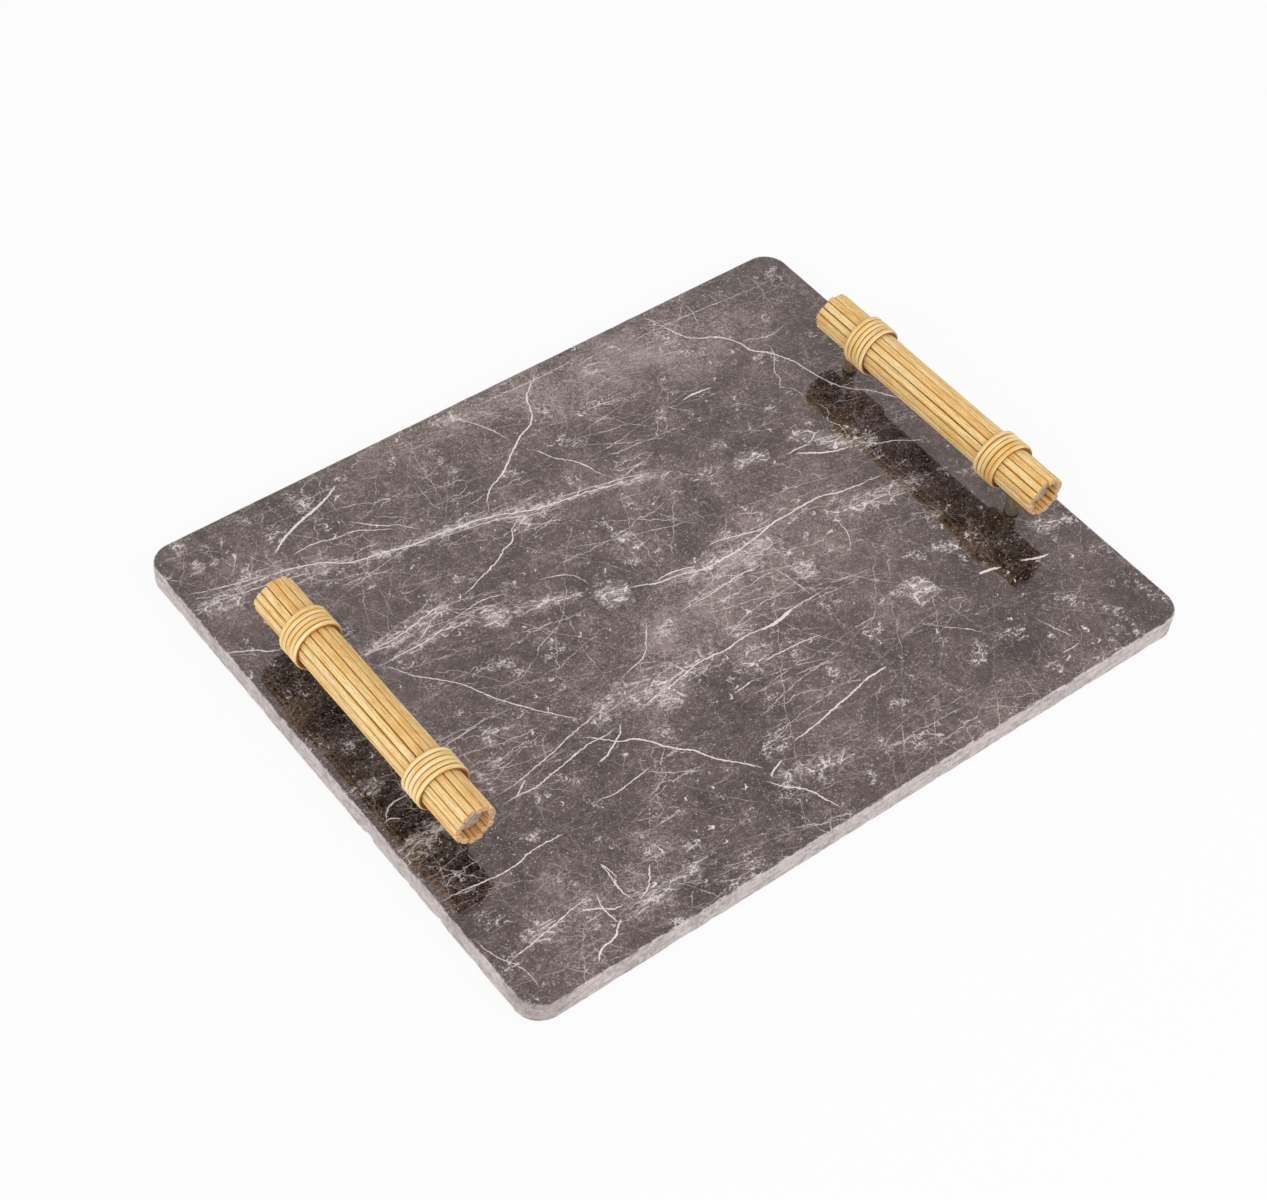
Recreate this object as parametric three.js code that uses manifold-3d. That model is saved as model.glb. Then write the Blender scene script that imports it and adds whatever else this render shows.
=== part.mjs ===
// Marble serving tray: a polished stone slab with two reed-bundle handles standing on metal posts.
// Millimetres, +Z up. The origin is on the table under the middle of the slab, and X runs from
// handle to handle.

import * as THREE from 'three';
import { mergeVertices } from 'three/addons/utils/BufferGeometryUtils.js';
import Module from 'manifold-3d';

const wasm = await Module();
wasm.setup();

// Slab
const slabLength = 450;
const slabWidth = 365;
const slabThickness = 15;
const slabCornerRadius = 15;
const slabEdgeRound = 1.8;

// Feet under the slab
const footDiameter = 16;
const footHeight = 2;
const footBevel = 0.5;
const footInset = 34; // slab edge to foot centre, both ways

// Reed-bundle handles
const handleInset = 30; // slab end to handle axis
const handleLength = 186;
const handleRise = 31; // slab top to handle axis
const bundleDiameter = 25;
const reedCount = 16;
const reedGap = 0.3;
const reedUnevenness = 1.2; // most that one end of a reed falls short
const coreRecess = 5; // reed ends to core end
const coreBevel = 0.6;

// Cane wraps
const caneDiameter = 2.7;
const caneTurns = 5;
const caneTurnGap = 0.5;
const caneClearance = 0.4; // cane to reeds
const wrapPostGap = 0.6; // wrap end to post

// Posts and their washers
const postDiameter = 8;
const postSetback = 22; // handle end to post axis
const postCrown = 4; // metal between screw bore and saddle
const neckDiameter = 4.5;
const neckDepth = 6; // neck length inside the core
const washerOverhang = 0.4;
const washerThickness = 0.8;

// Screws from below
const screwDiameter = 4;
const screwHeadDiameter = 7;
const screwHeadHeight = 4;
const screwHeadRecess = 1.2; // slab underside to head
const screwHeadBevel = 0.4;
const screwTipGap = 0.6;
const socketWidth = 3; // across the flats
const socketDepth = 2;

// Fits and facets
const fitClearance = 0.3;
const roundSides = 32;
const smallRoundSides = 16;
const reedSides = 12;
const caneSides = 6;
const caneStepsPerTurn = 24;
const cornerSteps = 8;
const edgeSteps = 3;
const cutPast = 1; // how far a cutter runs past the face it opens

// Sizes that follow from the ones above
const slabBottom = footHeight;
const slabTop = slabBottom + slabThickness;
const handleAxisX = slabLength / 2 - handleInset;
const bundleRadius = bundleDiameter / 2;
const reedStep = (2 * Math.PI) / reedCount;
const reedChord = Math.sin(reedStep / 2);
const reedDiameter = (bundleDiameter * reedChord - reedGap) / (1 + reedChord);
const reedCircleRadius = (bundleDiameter - reedDiameter) / 2;
const coreRadius = reedCircleRadius - reedDiameter / 2 - fitClearance;
const coreLength = handleLength - 2 * coreRecess;
const canePitch = caneDiameter + caneTurnGap;
const caneCircleRadius = bundleRadius + caneClearance + caneDiameter / 2;
const postY = handleLength / 2 - postSetback;
const wrapOuterY = postY - postDiameter / 2 - wrapPostGap - caneDiameter / 2;
const neckHoleRadius = neckDiameter / 2 + fitClearance;
const saddleRadius = bundleRadius + fitClearance;
const saddleFloor = handleRise - saddleRadius; // post top on the handle's middle line, above the slab
const boreRadius = screwDiameter / 2 + fitClearance;
const boreTop = saddleFloor - postCrown;
const counterboreRadius = screwHeadDiameter / 2 + fitClearance;
const counterboreDepth = screwHeadHeight + screwHeadRecess;
const screwShankLength = slabThickness - counterboreDepth + boreTop - screwTipGap;

// Finishes: colour, roughness and metalness
const finishes = {
  marble: { color: 0x6f676a, roughness: 0.18, metalness: 0 },
  reed: { color: 0xd8b06a, roughness: 0.6, metalness: 0 },
  cane: { color: 0xd3a85c, roughness: 0.5, metalness: 0 },
  core: { color: 0xa7a5a2, roughness: 0.45, metalness: 0.9 },
  post: { color: 0x6b6257, roughness: 0.35, metalness: 1 },
  washer: { color: 0x1b1a19, roughness: 0.7, metalness: 0 },
  screw: { color: 0xb4b6b8, roughness: 0.35, metalness: 1 },
  foot: { color: 0x242322, roughness: 0.85, metalness: 0 },
};

// A closed geometry as a solid that can be joined and cut
function toSolid(geometry) {
  const bare = geometry.clone();
  bare.deleteAttribute('normal');
  bare.deleteAttribute('uv');
  const merged = mergeVertices(bare);
  const corners = merged.index.array;
  const triangles = [];
  for (let i = 0; i < corners.length; i += 3) {
    const [a, b, c] = [corners[i], corners[i + 1], corners[i + 2]];
    if (a !== b && b !== c && c !== a) {
      triangles.push(a, b, c);
    }
  }
  const vertProperties = new Float32Array(merged.attributes.position.array);
  const triVerts = new Uint32Array(triangles);
  return new wasm.Manifold(new wasm.Mesh({ numProp: 3, vertProperties, triVerts }));
}

// A solid back as a geometry
function toGeometry(solid) {
  const mesh = solid.getMesh();
  const geometry = new THREE.BufferGeometry();
  geometry.setAttribute('position', new THREE.BufferAttribute(mesh.vertProperties, 3));
  geometry.setIndex(new THREE.BufferAttribute(mesh.triVerts, 1));
  geometry.computeVertexNormals();
  return geometry;
}

// A piece turned about Z from [radius, height] points that start and end on the axis
function turned(profile, sides) {
  const points = profile.map(([radius, height]) => new THREE.Vector2(radius, height));
  return new THREE.LatheGeometry(points, sides).rotateX(Math.PI / 2);
}

// A plain round rod along Z between two heights
function rod(radius, bottom, top, sides) {
  return turned([[0, bottom], [radius, bottom], [radius, top], [0, top]], sides);
}

function addPiece(parent, name, geometry, finish) {
  const piece = new THREE.Mesh(geometry, new THREE.MeshStandardMaterial(finish));
  piece.name = name;
  parent.add(piece);
  return piece;
}

// The four places where a post stands, as seen from above
function postPlaces() {
  const places = [];
  for (const x of [-handleAxisX, handleAxisX]) {
    for (const y of [-postY, postY]) {
      places.push([x, y]);
    }
  }
  return places;
}

function slabOutline() {
  const outline = new THREE.Shape();
  const x = slabLength / 2 - slabCornerRadius;
  const y = slabWidth / 2 - slabCornerRadius;
  const quarter = Math.PI / 2;
  outline.absarc(x, y, slabCornerRadius, 0, quarter);
  outline.absarc(-x, y, slabCornerRadius, quarter, 2 * quarter);
  outline.absarc(-x, -y, slabCornerRadius, 2 * quarter, 3 * quarter);
  outline.absarc(x, -y, slabCornerRadius, 3 * quarter, 4 * quarter);
  return outline;
}

// The slab has rounded edges and, under each post, a stepped hole for the screw and its head
function slabGeometry() {
  const block = new THREE.ExtrudeGeometry(slabOutline(), {
    depth: slabThickness - 2 * slabEdgeRound,
    bevelEnabled: true,
    bevelThickness: slabEdgeRound,
    bevelSize: slabEdgeRound,
    bevelOffset: -slabEdgeRound,
    bevelSegments: edgeSteps,
    curveSegments: cornerSteps,
  });
  block.translate(0, 0, slabEdgeRound);
  const hole = turned([
    [0, -cutPast],
    [counterboreRadius, -cutPast],
    [counterboreRadius, counterboreDepth],
    [boreRadius, counterboreDepth],
    [boreRadius, slabThickness + cutPast],
    [0, slabThickness + cutPast],
  ], smallRoundSides);
  let solid = toSolid(block);
  for (const [x, y] of postPlaces()) {
    solid = solid.subtract(toSolid(hole.clone().translate(x, y, 0)));
  }
  return toGeometry(solid);
}

function footGeometry() {
  const radius = footDiameter / 2;
  return turned([
    [0, 0],
    [radius - footBevel, 0],
    [radius, footBevel],
    [radius, footHeight],
    [0, footHeight],
  ], smallRoundSides);
}

// The hole for a post's neck, from below the bundle up into the core
function neckHole(y) {
  const bottom = handleRise - bundleRadius - cutPast;
  const top = handleRise - coreRadius + neckDepth + fitClearance;
  return rod(neckHoleRadius, bottom, top, smallRoundSides).translate(0, y, 0);
}

// The core lies along Y, with a blind hole in its underside for each neck
function coreGeometry() {
  const half = coreLength / 2;
  const core = turned([
    [0, -half],
    [coreRadius - coreBevel, -half],
    [coreRadius, -half + coreBevel],
    [coreRadius, half - coreBevel],
    [coreRadius - coreBevel, half],
    [0, half],
  ], roundSides);
  core.rotateX(Math.PI / 2).translate(0, 0, handleRise);
  const drilled = toSolid(core).subtract(toSolid(neckHole(-postY))).subtract(toSolid(neckHole(postY)));
  return toGeometry(drilled);
}

// How far one end of a reed falls short of the handle's end
function reedShortfall(index, end) {
  const shares = 5;
  const share = (index * 3 + end * 2) % shares;
  return (reedUnevenness * share) / (shares - 1);
}

// Reeds stand side by side round the core, with a gap between two of them at the bottom.
// The two beside that gap are notched where the necks pass.
function reedGeometry(index) {
  const angle = (index + 0.5) * reedStep;
  const front = -handleLength / 2 + reedShortfall(index, 0);
  const back = handleLength / 2 - reedShortfall(index, 1);
  const reed = new THREE.CylinderGeometry(reedDiameter / 2, reedDiameter / 2, back - front, reedSides);
  const x = reedCircleRadius * Math.sin(angle);
  const z = handleRise - reedCircleRadius * Math.cos(angle);
  reed.translate(x, (front + back) / 2, z);
  const besideGap = index === 0 || index === reedCount - 1;
  if (!besideGap) {
    return reed;
  }
  return toGeometry(toSolid(reed).subtract(toSolid(neckHole(-postY))).subtract(toSolid(neckHole(postY))));
}

// The cane's middle line: even turns round the bundle from the post inwards, with straight ends.
// Each station holds its centre, its outward direction and its direction of travel.
function caneStations(end) {
  const stations = [];
  const steps = caneTurns * caneStepsPerTurn;
  const risePerRadian = (-end * canePitch) / (2 * Math.PI);
  for (let i = 0; i <= steps; i += 1) {
    const angle = (i / caneStepsPerTurn) * 2 * Math.PI;
    const outward = new THREE.Vector3(Math.sin(angle), 0, -Math.cos(angle));
    const centre = outward.clone().multiplyScalar(caneCircleRadius);
    centre.y = end * wrapOuterY + risePerRadian * angle;
    centre.z += handleRise;
    const travel = new THREE.Vector3(
      caneCircleRadius * Math.cos(angle),
      risePerRadian,
      caneCircleRadius * Math.sin(angle),
    ).normalize();
    stations.push({ centre, outward, travel });
  }
  const straightEnd = (station, run) => ({
    ...station,
    centre: station.centre.clone().addScaledVector(station.travel, run),
  });
  stations.unshift(straightEnd(stations[0], -caneDiameter));
  stations.push(straightEnd(stations[stations.length - 1], caneDiameter));
  return stations;
}

// Points of the cane's surface, one ring for each station
function caneRings(stations) {
  return stations.map(({ centre, outward, travel }) => {
    const across = new THREE.Vector3().crossVectors(travel, outward);
    const ring = [];
    for (let side = 0; side < caneSides; side += 1) {
      const turn = (side / caneSides) * 2 * Math.PI;
      const point = centre.clone();
      point.addScaledVector(outward, Math.cos(turn) * (caneDiameter / 2));
      point.addScaledVector(across, Math.sin(turn) * (caneDiameter / 2));
      ring.push(point);
    }
    return ring;
  });
}

// Least distance between surface points that are at least half a turn apart along the cane
function leastGap(rings) {
  const apart = caneStepsPerTurn / 2;
  let least = Infinity;
  for (let i = 0; i < rings.length; i += 1) {
    for (let j = i + apart; j < rings.length; j += 1) {
      for (const a of rings[i]) {
        for (const b of rings[j]) {
          least = Math.min(least, a.distanceTo(b));
        }
      }
    }
  }
  return least;
}

// One unbroken tube of cane; end is -1 at the front of the handle and 1 at the back
function wrapGeometry(end, name) {
  const rings = caneRings(caneStations(end));
  console.log(`${name}: least gap of the cane to itself ${leastGap(rings).toFixed(2)} mm`);
  const indices = [];
  for (let i = 0; i + 1 < rings.length; i += 1) {
    for (let side = 0; side < caneSides; side += 1) {
      const next = (side + 1) % caneSides;
      const a = i * caneSides + side;
      const b = i * caneSides + next;
      indices.push(a, b, b + caneSides, a, b + caneSides, a + caneSides);
    }
  }
  const last = (rings.length - 1) * caneSides;
  for (let side = 1; side + 1 < caneSides; side += 1) {
    indices.push(0, side + 1, side);
    indices.push(last, last + side, last + side + 1);
  }
  const geometry = new THREE.BufferGeometry().setFromPoints(rings.flat());
  geometry.setIndex(indices);
  geometry.computeVertexNormals();
  return geometry;
}

// A post stands on its washer, is hollowed to seat the bundle and ends in a neck that enters the core
function postGeometry() {
  const saddleCut = rod(saddleRadius, -postDiameter, postDiameter, roundSides);
  saddleCut.rotateX(Math.PI / 2).translate(0, 0, handleRise);
  const bodyTop = handleRise - reedCircleRadius;
  const body = rod(postDiameter / 2, washerThickness, bodyTop, smallRoundSides);
  const bore = rod(boreRadius, washerThickness - cutPast, boreTop, smallRoundSides);
  const neckBottom = saddleFloor - postCrown / 2;
  const neckTop = handleRise - coreRadius + neckDepth;
  const neck = rod(neckDiameter / 2, neckBottom, neckTop, smallRoundSides);
  const solid = toSolid(body).subtract(toSolid(saddleCut)).subtract(toSolid(bore)).add(toSolid(neck));
  return toGeometry(solid);
}

function washerGeometry() {
  const outer = postDiameter / 2 + washerOverhang;
  return turned([
    [boreRadius, 0],
    [outer, 0],
    [outer, washerThickness],
    [boreRadius, washerThickness],
    [boreRadius, 0],
  ], smallRoundSides);
}

// A socket-head screw, head down, measured from the slab underside
function screwGeometry() {
  const headRadius = screwHeadDiameter / 2;
  const shankTop = counterboreDepth + screwShankLength;
  const screw = turned([
    [0, screwHeadRecess],
    [headRadius - screwHeadBevel, screwHeadRecess],
    [headRadius, screwHeadRecess + screwHeadBevel],
    [headRadius, counterboreDepth],
    [screwDiameter / 2, counterboreDepth],
    [screwDiameter / 2, shankTop],
    [0, shankTop],
  ], smallRoundSides);
  const socketRadius = socketWidth / 2 / Math.cos(Math.PI / 6);
  const socket = rod(socketRadius, screwHeadRecess - cutPast, screwHeadRecess + socketDepth, 6);
  return toGeometry(toSolid(screw).subtract(toSolid(socket)));
}

// A handle's group stands on the slab top under the middle of its bundle
function addHandle(tray, x, name) {
  const handle = new THREE.Group();
  handle.position.set(x, 0, slabTop);
  tray.add(handle);
  addPiece(handle, `${name}_core_rod`, coreGeometry(), finishes.core);
  for (let index = 0; index < reedCount; index += 1) {
    const number = String(index + 1).padStart(2, '0');
    addPiece(handle, `${name}_reed_${number}`, reedGeometry(index), finishes.reed);
  }
  for (const [end, place] of [[-1, 'front'], [1, 'back']]) {
    const wrapName = `${name}_${place}_wrap`;
    addPiece(handle, wrapName, wrapGeometry(end, wrapName), finishes.cane);
    const post = addPiece(handle, `${name}_${place}_post`, postGeometry(), finishes.post);
    const washer = addPiece(handle, `${name}_${place}_washer`, washerGeometry(), finishes.washer);
    const screw = addPiece(handle, `${name}_${place}_screw`, screwGeometry(), finishes.screw);
    post.position.y = end * postY;
    washer.position.y = end * postY;
    screw.position.set(0, end * postY, -slabThickness);
  }
}

const tray = new THREE.Group();
tray.name = 'marble_serving_tray';

const slab = addPiece(tray, 'marble_slab', slabGeometry(), finishes.marble);
slab.position.z = slabBottom;

for (const [sideX, left] of [[-1, 'left'], [1, 'right']]) {
  for (const [sideY, front] of [[-1, 'front'], [1, 'back']]) {
    const foot = addPiece(tray, `${left}_${front}_foot`, footGeometry(), finishes.foot);
    foot.position.x = sideX * (slabLength / 2 - footInset);
    foot.position.y = sideY * (slabWidth / 2 - footInset);
  }
}

addHandle(tray, -handleAxisX, 'left');
addHandle(tray, handleAxisX, 'right');

export default tray;
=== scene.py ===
import math
import random
from functools import reduce
from types import SimpleNamespace

import bmesh
import bpy
from mathutils import Matrix, Vector, noise


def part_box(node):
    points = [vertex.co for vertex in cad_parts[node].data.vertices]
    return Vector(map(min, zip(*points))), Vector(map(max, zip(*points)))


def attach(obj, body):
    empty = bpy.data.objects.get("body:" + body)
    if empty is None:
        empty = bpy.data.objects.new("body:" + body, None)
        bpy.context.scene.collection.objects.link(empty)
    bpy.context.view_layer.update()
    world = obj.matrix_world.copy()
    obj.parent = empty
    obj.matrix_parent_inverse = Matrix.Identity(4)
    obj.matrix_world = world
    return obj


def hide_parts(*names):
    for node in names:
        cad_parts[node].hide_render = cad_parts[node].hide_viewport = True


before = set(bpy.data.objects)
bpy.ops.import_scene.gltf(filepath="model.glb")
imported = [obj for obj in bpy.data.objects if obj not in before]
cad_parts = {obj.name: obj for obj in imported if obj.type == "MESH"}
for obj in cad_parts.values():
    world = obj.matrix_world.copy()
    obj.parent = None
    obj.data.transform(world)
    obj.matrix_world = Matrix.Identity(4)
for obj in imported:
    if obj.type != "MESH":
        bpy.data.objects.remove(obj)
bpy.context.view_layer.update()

mm = 0.001
sides = ("left", "right")
ends = ("front", "back")
slabLow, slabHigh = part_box("marble_slab")
slabTop = slabHigh.z
reedCount = sum(name.startswith("left_reed_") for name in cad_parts)
fit = 0.3 * mm  # the clearance that the pieces keep


def addObject(name, data):
    made = bpy.data.objects.new(name, data)
    bpy.context.scene.collection.objects.link(made)
    return made


# Camera at the photograph's view

cameraView = {
    "lens": 73.53,
    "sensorWidth": 36,
    "azimuth": -40.91,  # degrees
    "elevation": 48.84,
    "roll": 4.403,
    "distance": 1.43384,  # metres to the middle of the slab top
    "aside": 0.01854,  # how far that middle lies off the lens axis
    "above": 0.00967,
}


def addCamera():
    azimuth = math.radians(cameraView["azimuth"])
    elevation = math.radians(cameraView["elevation"])
    roll = math.radians(cameraView["roll"])
    flat = math.cos(elevation)
    back = Vector((math.sin(azimuth) * flat, -math.cos(azimuth) * flat, math.sin(elevation)))
    level = Vector((math.cos(azimuth), math.sin(azimuth), 0))
    upright = back.cross(level)
    right = level * math.cos(roll) + upright * math.sin(roll)
    up = upright * math.cos(roll) - level * math.sin(roll)
    eye = back * cameraView["distance"] - right * cameraView["aside"] - up * cameraView["above"]
    eye.z += slabTop
    lens = bpy.data.cameras.new("photoCamera")
    lens.lens = cameraView["lens"]
    lens.sensor_width = cameraView["sensorWidth"]
    lens.sensor_fit = "HORIZONTAL"
    camera = addObject("photoCamera", lens)
    camera.matrix_world = Matrix.Translation(eye) @ Matrix((right, up, back)).transposed().to_4x4()
    bpy.context.scene.camera = camera


# Shader maths

class Wire:  # one output of a node, so that maths on it can be written as maths
    def __init__(self, finish, socket):
        self.finish = finish
        self.socket = socket

    def maths(self, operation, first, second=0.0, clamp=False):
        settings = {"operation": operation, "use_clamp": clamp}
        return self.finish.node("ShaderNodeMath", settings, {0: first, 1: second})

    def __add__(self, other):
        return self.maths("ADD", self, other)

    def __radd__(self, other):
        return self.maths("ADD", other, self)

    def __sub__(self, other):
        return self.maths("SUBTRACT", self, other)

    def __rsub__(self, other):
        return self.maths("SUBTRACT", other, self)

    def __mul__(self, other):
        return self.maths("MULTIPLY", self, other)

    def __rmul__(self, other):
        return self.maths("MULTIPLY", other, self)

    def __truediv__(self, other):
        return self.maths("DIVIDE", self, other)

    def __rtruediv__(self, other):
        return self.maths("DIVIDE", other, self)

    def __abs__(self):
        return self.maths("ABSOLUTE", self)

    def clamped(self):
        return self.maths("ADD", self, 0.0, clamp=True)

    def most(self, other):
        return self.maths("MAXIMUM", self, other)


def strongest(*amounts):
    return reduce(Wire.most, amounts)


surfaceSockets = {
    "colour": "Base Color",
    "rough": "Roughness",
    "metal": "Metallic",
    "shine": "Specular IOR Level",
    "tint": "Specular Tint",
    "normal": "Normal",
}


class Finish:  # the nodes of a material or a world, and the few ways they are made
    def __init__(self, owner):
        self.owner = owner
        owner.use_nodes = True
        self.tree = owner.node_tree
        self.tree.nodes.clear()

    def node(self, kind, settings=None, sockets=None, output=0):
        made = self.tree.nodes.new(kind)
        for key, value in (settings or {}).items():
            if key == "course":
                self.setCourse(made.mapping, value)
            else:
                setattr(made, key, value)
        for key, value in (sockets or {}).items():
            if isinstance(value, Wire):
                self.tree.links.new(value.socket, made.inputs[key])
            else:
                made.inputs[key].default_value = value
        return Wire(self, made.outputs[output]) if made.outputs else made

    def setCourse(self, mapping, points):
        mapping.use_clip = False
        curve = mapping.curves[0]
        while len(curve.points) < len(points):
            curve.points.new(*points[len(curve.points)])
        for point, place in zip(curve.points, sorted(points)):
            point.location = place
        mapping.update()

    def vector(self, operation, first, second=(0, 0, 0), scale=1.0):
        sockets = {0: first, 1: second, 3: scale}  # 3 is the scale
        output = 1 if operation in ("DOT_PRODUCT", "DISTANCE") else 0
        return self.node("ShaderNodeVectorMath", {"operation": operation}, sockets, output)

    def parts(self, value, count):  # the first numbers of a vector
        return [self.node("ShaderNodeSeparateXYZ", {}, {"Vector": value}, output) for output in range(count)]

    def place(self):  # where a point of the piece lies, in millimetres
        spot = self.node("ShaderNodeTexCoord", output="Object")
        return self.vector("SCALE", spot, scale=1 / mm)

    def mark(self, name):  # what the mesh says of its points under a name
        return self.node("ShaderNodeAttribute", {"attribute_name": name}, output="Vector")

    def upwards(self):  # 1 on a face that looks up, -1 on one that looks down
        facing = self.node("ShaderNodeNewGeometry", output="Normal")
        return self.vector("DOT_PRODUCT", facing, (0, 0, 1))

    def combed(self, spot, stretch, turn=0):  # drawn out along a direction so many degrees from X
        sockets = {"Vector": spot, "Rotation": (0, 0, math.radians(turn)), "Scale": (stretch, 1, 1)}
        return self.node("ShaderNodeMapping", {"vector_type": "TEXTURE"}, sockets)

    def noise(self, spot, scale, detail, roughness, output=0):
        sockets = {"Vector": spot, "Scale": scale, "Detail": detail, "Roughness": roughness}
        return self.node("ShaderNodeTexNoise", {}, sockets, output)

    def cells(self, spot, scale, feature="F1", output=0):
        sockets = {"Vector": spot, "Scale": scale}
        return self.node("ShaderNodeTexVoronoi", {"feature": feature}, sockets, output)

    def luck(self, spot, scale):  # a random number for each cell
        colour = self.cells(spot, scale, output=1)
        return self.node("ShaderNodeSeparateColor", {}, {"Color": colour})

    def ramp(self, amount, low, high, fromValue=0.0, toValue=1.0, shape="SMOOTHSTEP"):
        sockets = {"Value": amount, "From Min": low, "From Max": high}
        sockets.update({"To Min": fromValue, "To Max": toValue})
        return self.node("ShaderNodeMapRange", {"interpolation_type": shape}, sockets)

    def curve(self, amount, course):
        return self.node("ShaderNodeFloatCurve", {"course": course}, {"Value": amount})

    def mix(self, amount, first, second):
        sockets = {0: amount, 6: self.tone(first), 7: self.tone(second)}  # 6 and 7 are the colours
        return self.node("ShaderNodeMix", {"data_type": "RGBA", "blend_type": "MIX"}, sockets, 2)

    def tone(self, colour):
        return colour if isinstance(colour, Wire) else (*colour, 1)

    def bump(self, height, strength, distance):
        sockets = {"Height": height, "Strength": strength, "Distance": distance}
        return self.node("ShaderNodeBump", {}, sockets)

    def surface(self, **looks):
        sockets = {surfaceSockets[key]: value for key, value in looks.items()}
        shader = self.node("ShaderNodeBsdfPrincipled", {}, sockets)
        self.node("ShaderNodeOutputMaterial", {}, {"Surface": shader})
        return self.owner

    def grained(self, look, colour, grain, height):  # a surface whose grain varies its roughness
        rough = look["rough"] + look["roughVaries"] * grain
        normal = self.bump(height, look["relief"], look["reliefDepth"])
        gloss = {key: look[key] for key in ("metal", "shine") if key in look}
        return self.surface(colour=colour, rough=rough, normal=normal, **gloss)


def newFinish(name):
    return Finish(bpy.data.materials.new(name))


def shade(red, green, blue):  # a screen colour as the linear one that a shader takes
    parts = [part / 255 for part in (red, green, blue)]
    return tuple(((part + 0.055) / 1.055) ** 2.4 if part > 0.04045 else part / 12.92 for part in parts)


# Mesh helpers

easeMiddle = 0.3  # share of an eased edge at the middle of its arc


def skin(rings, closed=False):  # points and faces over rings of points; a ring of one point closes an end
    points = []
    starts = []
    for ring in rings:
        starts.append(len(points))
        points.extend(ring)
    pairs = list(zip(range(len(rings) - 1), range(1, len(rings))))
    if closed:
        pairs.append((len(rings) - 1, 0))
    faces = []
    for here, there in pairs:
        a = starts[here]
        b = starts[there]
        count = max(len(rings[here]), len(rings[there]))
        for i in range(count):
            j = (i + 1) % count
            if len(rings[here]) == 1:
                faces.append((a, b + j, b + i))
            elif len(rings[there]) == 1:
                faces.append((a + i, a + j, b))
            else:
                faces.append((a + i, a + j, b + j, b + i))
    return points, faces


def circle(radius, height, count, centre=Vector()):
    if radius == 0:
        return [centre + Vector((0, 0, height))]
    ring = []
    for i in range(count):
        angle = 2 * math.pi * i / count
        ring.append(centre + Vector((radius * math.cos(angle), radius * math.sin(angle), height)))
    return ring


def turned(profile, count, centre):  # rings of a profile of radius and height
    return [circle(radius, height, count, centre) for radius, height in profile]


def eased(radius, edge, ease):  # a rim from the flat at its edge round to its side
    middle = easeMiddle * ease
    return [(radius - ease, edge), (radius - middle, edge + middle), (radius, edge + ease)]


def roundedReach(angle, depth, width, power):  # from the middle of a squarish round section to its skin
    share = abs(math.cos(angle) / (depth / 2)) ** power + abs(math.sin(angle) / (width / 2)) ** power
    return share ** (-1 / power)


def slowWave(dice, waves):  # a smooth wander along a length from 0 to 1
    parts = []
    for number in waves:
        size = dice.uniform(0.5, 1) / number
        parts.append((size, number + dice.uniform(-0.3, 0.3), dice.uniform(0, 6.28)))
    return lambda t: sum(size * math.sin(6.28 * turns * t + start) for size, turns, start in parts)


def randomSpot(dice):  # where in the noise a strand takes its fibres from
    return Vector([dice.uniform(0, 90) for _ in range(3)])


def seat(node):  # the box of a node and the foot of its upright middle line
    low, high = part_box(node)
    return low, high, Vector(((low.x + high.x) / 2, (low.y + high.y) / 2, 0))


def bundleMiddle(side):
    low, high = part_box(f"{side}_core_rod")
    return (low + high) / 2


def closedMesh(name, points, faces):  # a mesh with its faces pointing out
    mesh = bpy.data.meshes.new(name)
    mesh.from_pydata(points, [], faces)
    shaped = bmesh.new()
    shaped.from_mesh(mesh)
    bmesh.ops.recalc_face_normals(shaped, faces=shaped.faces)
    shaped.to_mesh(mesh)
    shaped.free()
    return mesh


def addPiece(node, points, faces, finish, slotName, sharpAngle=35, marks=None):
    first, *others = node.split("_")
    name = first + "".join(word.capitalize() for word in others)
    mesh = closedMesh(name, points, faces)
    for mark, values in (marks or {}).items():
        layer = mesh.attributes.new(mark, "FLOAT_VECTOR", "POINT")
        layer.data.foreach_set("vector", [number for value in values for number in value])
    mesh.shade_smooth()
    mesh.set_sharp_from_angle(angle=math.radians(sharpAngle))
    mesh.materials.append(finish)
    piece = addObject(name, mesh)
    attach(piece, "root")
    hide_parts(node)
    return piece


def addStrand(node, rows, finish, slotName, sharpAngle):  # rows of points, each with its fibre and tone
    points, faces = skin([[point for point, fibre, tone in row] for row in rows])
    marks = {"fibre": [], "tone": []}
    for row in rows:
        for point, fibre, tone in row:
            marks["fibre"].append(fibre)
            marks["tone"].append(tone)
    addPiece(node, points, faces, finish, slotName, sharpAngle, marks)


# Marble slab

slabShape = {
    "cornerRadius": 15 * mm,
    "edgeRound": 1.8 * mm,
    "cornerSteps": 24,
    "edgeSteps": 8,
    "straightStep": 2.5 * mm,
    "flatRim": 1 * mm,  # a flat strip inside the rounded edge
    "handFinish": 0.16 * mm,  # how far the edge wanders inwards
    "brokenEdge": 0.55 * mm,  # the same at the rough bottom edge
    "brokenHeight": 6 * mm,  # how far up the roughness fades out
    "longWaver": 7 * mm,
    "shortWaver": 2.4 * mm,
    "chips": [  # x, y, half length and depth in mm
        (-225, -40, 4, 1.1), (-225, -74, 3, 0.8), (-225, -101, 5, 0.9), (-225, 62, 4, 0.7),
        (-225, 118, 3, 0.6), (-113, -182, 4, 0.9), (42, -182, 5, 0.7), (150, -182, 3, 0.6)],
    "boreRadius": 2.3 * mm,
    "boreSides": 32,
    "counterboreRadius": 3.8 * mm,
    "counterboreDepth": 5.2 * mm,
}

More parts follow.
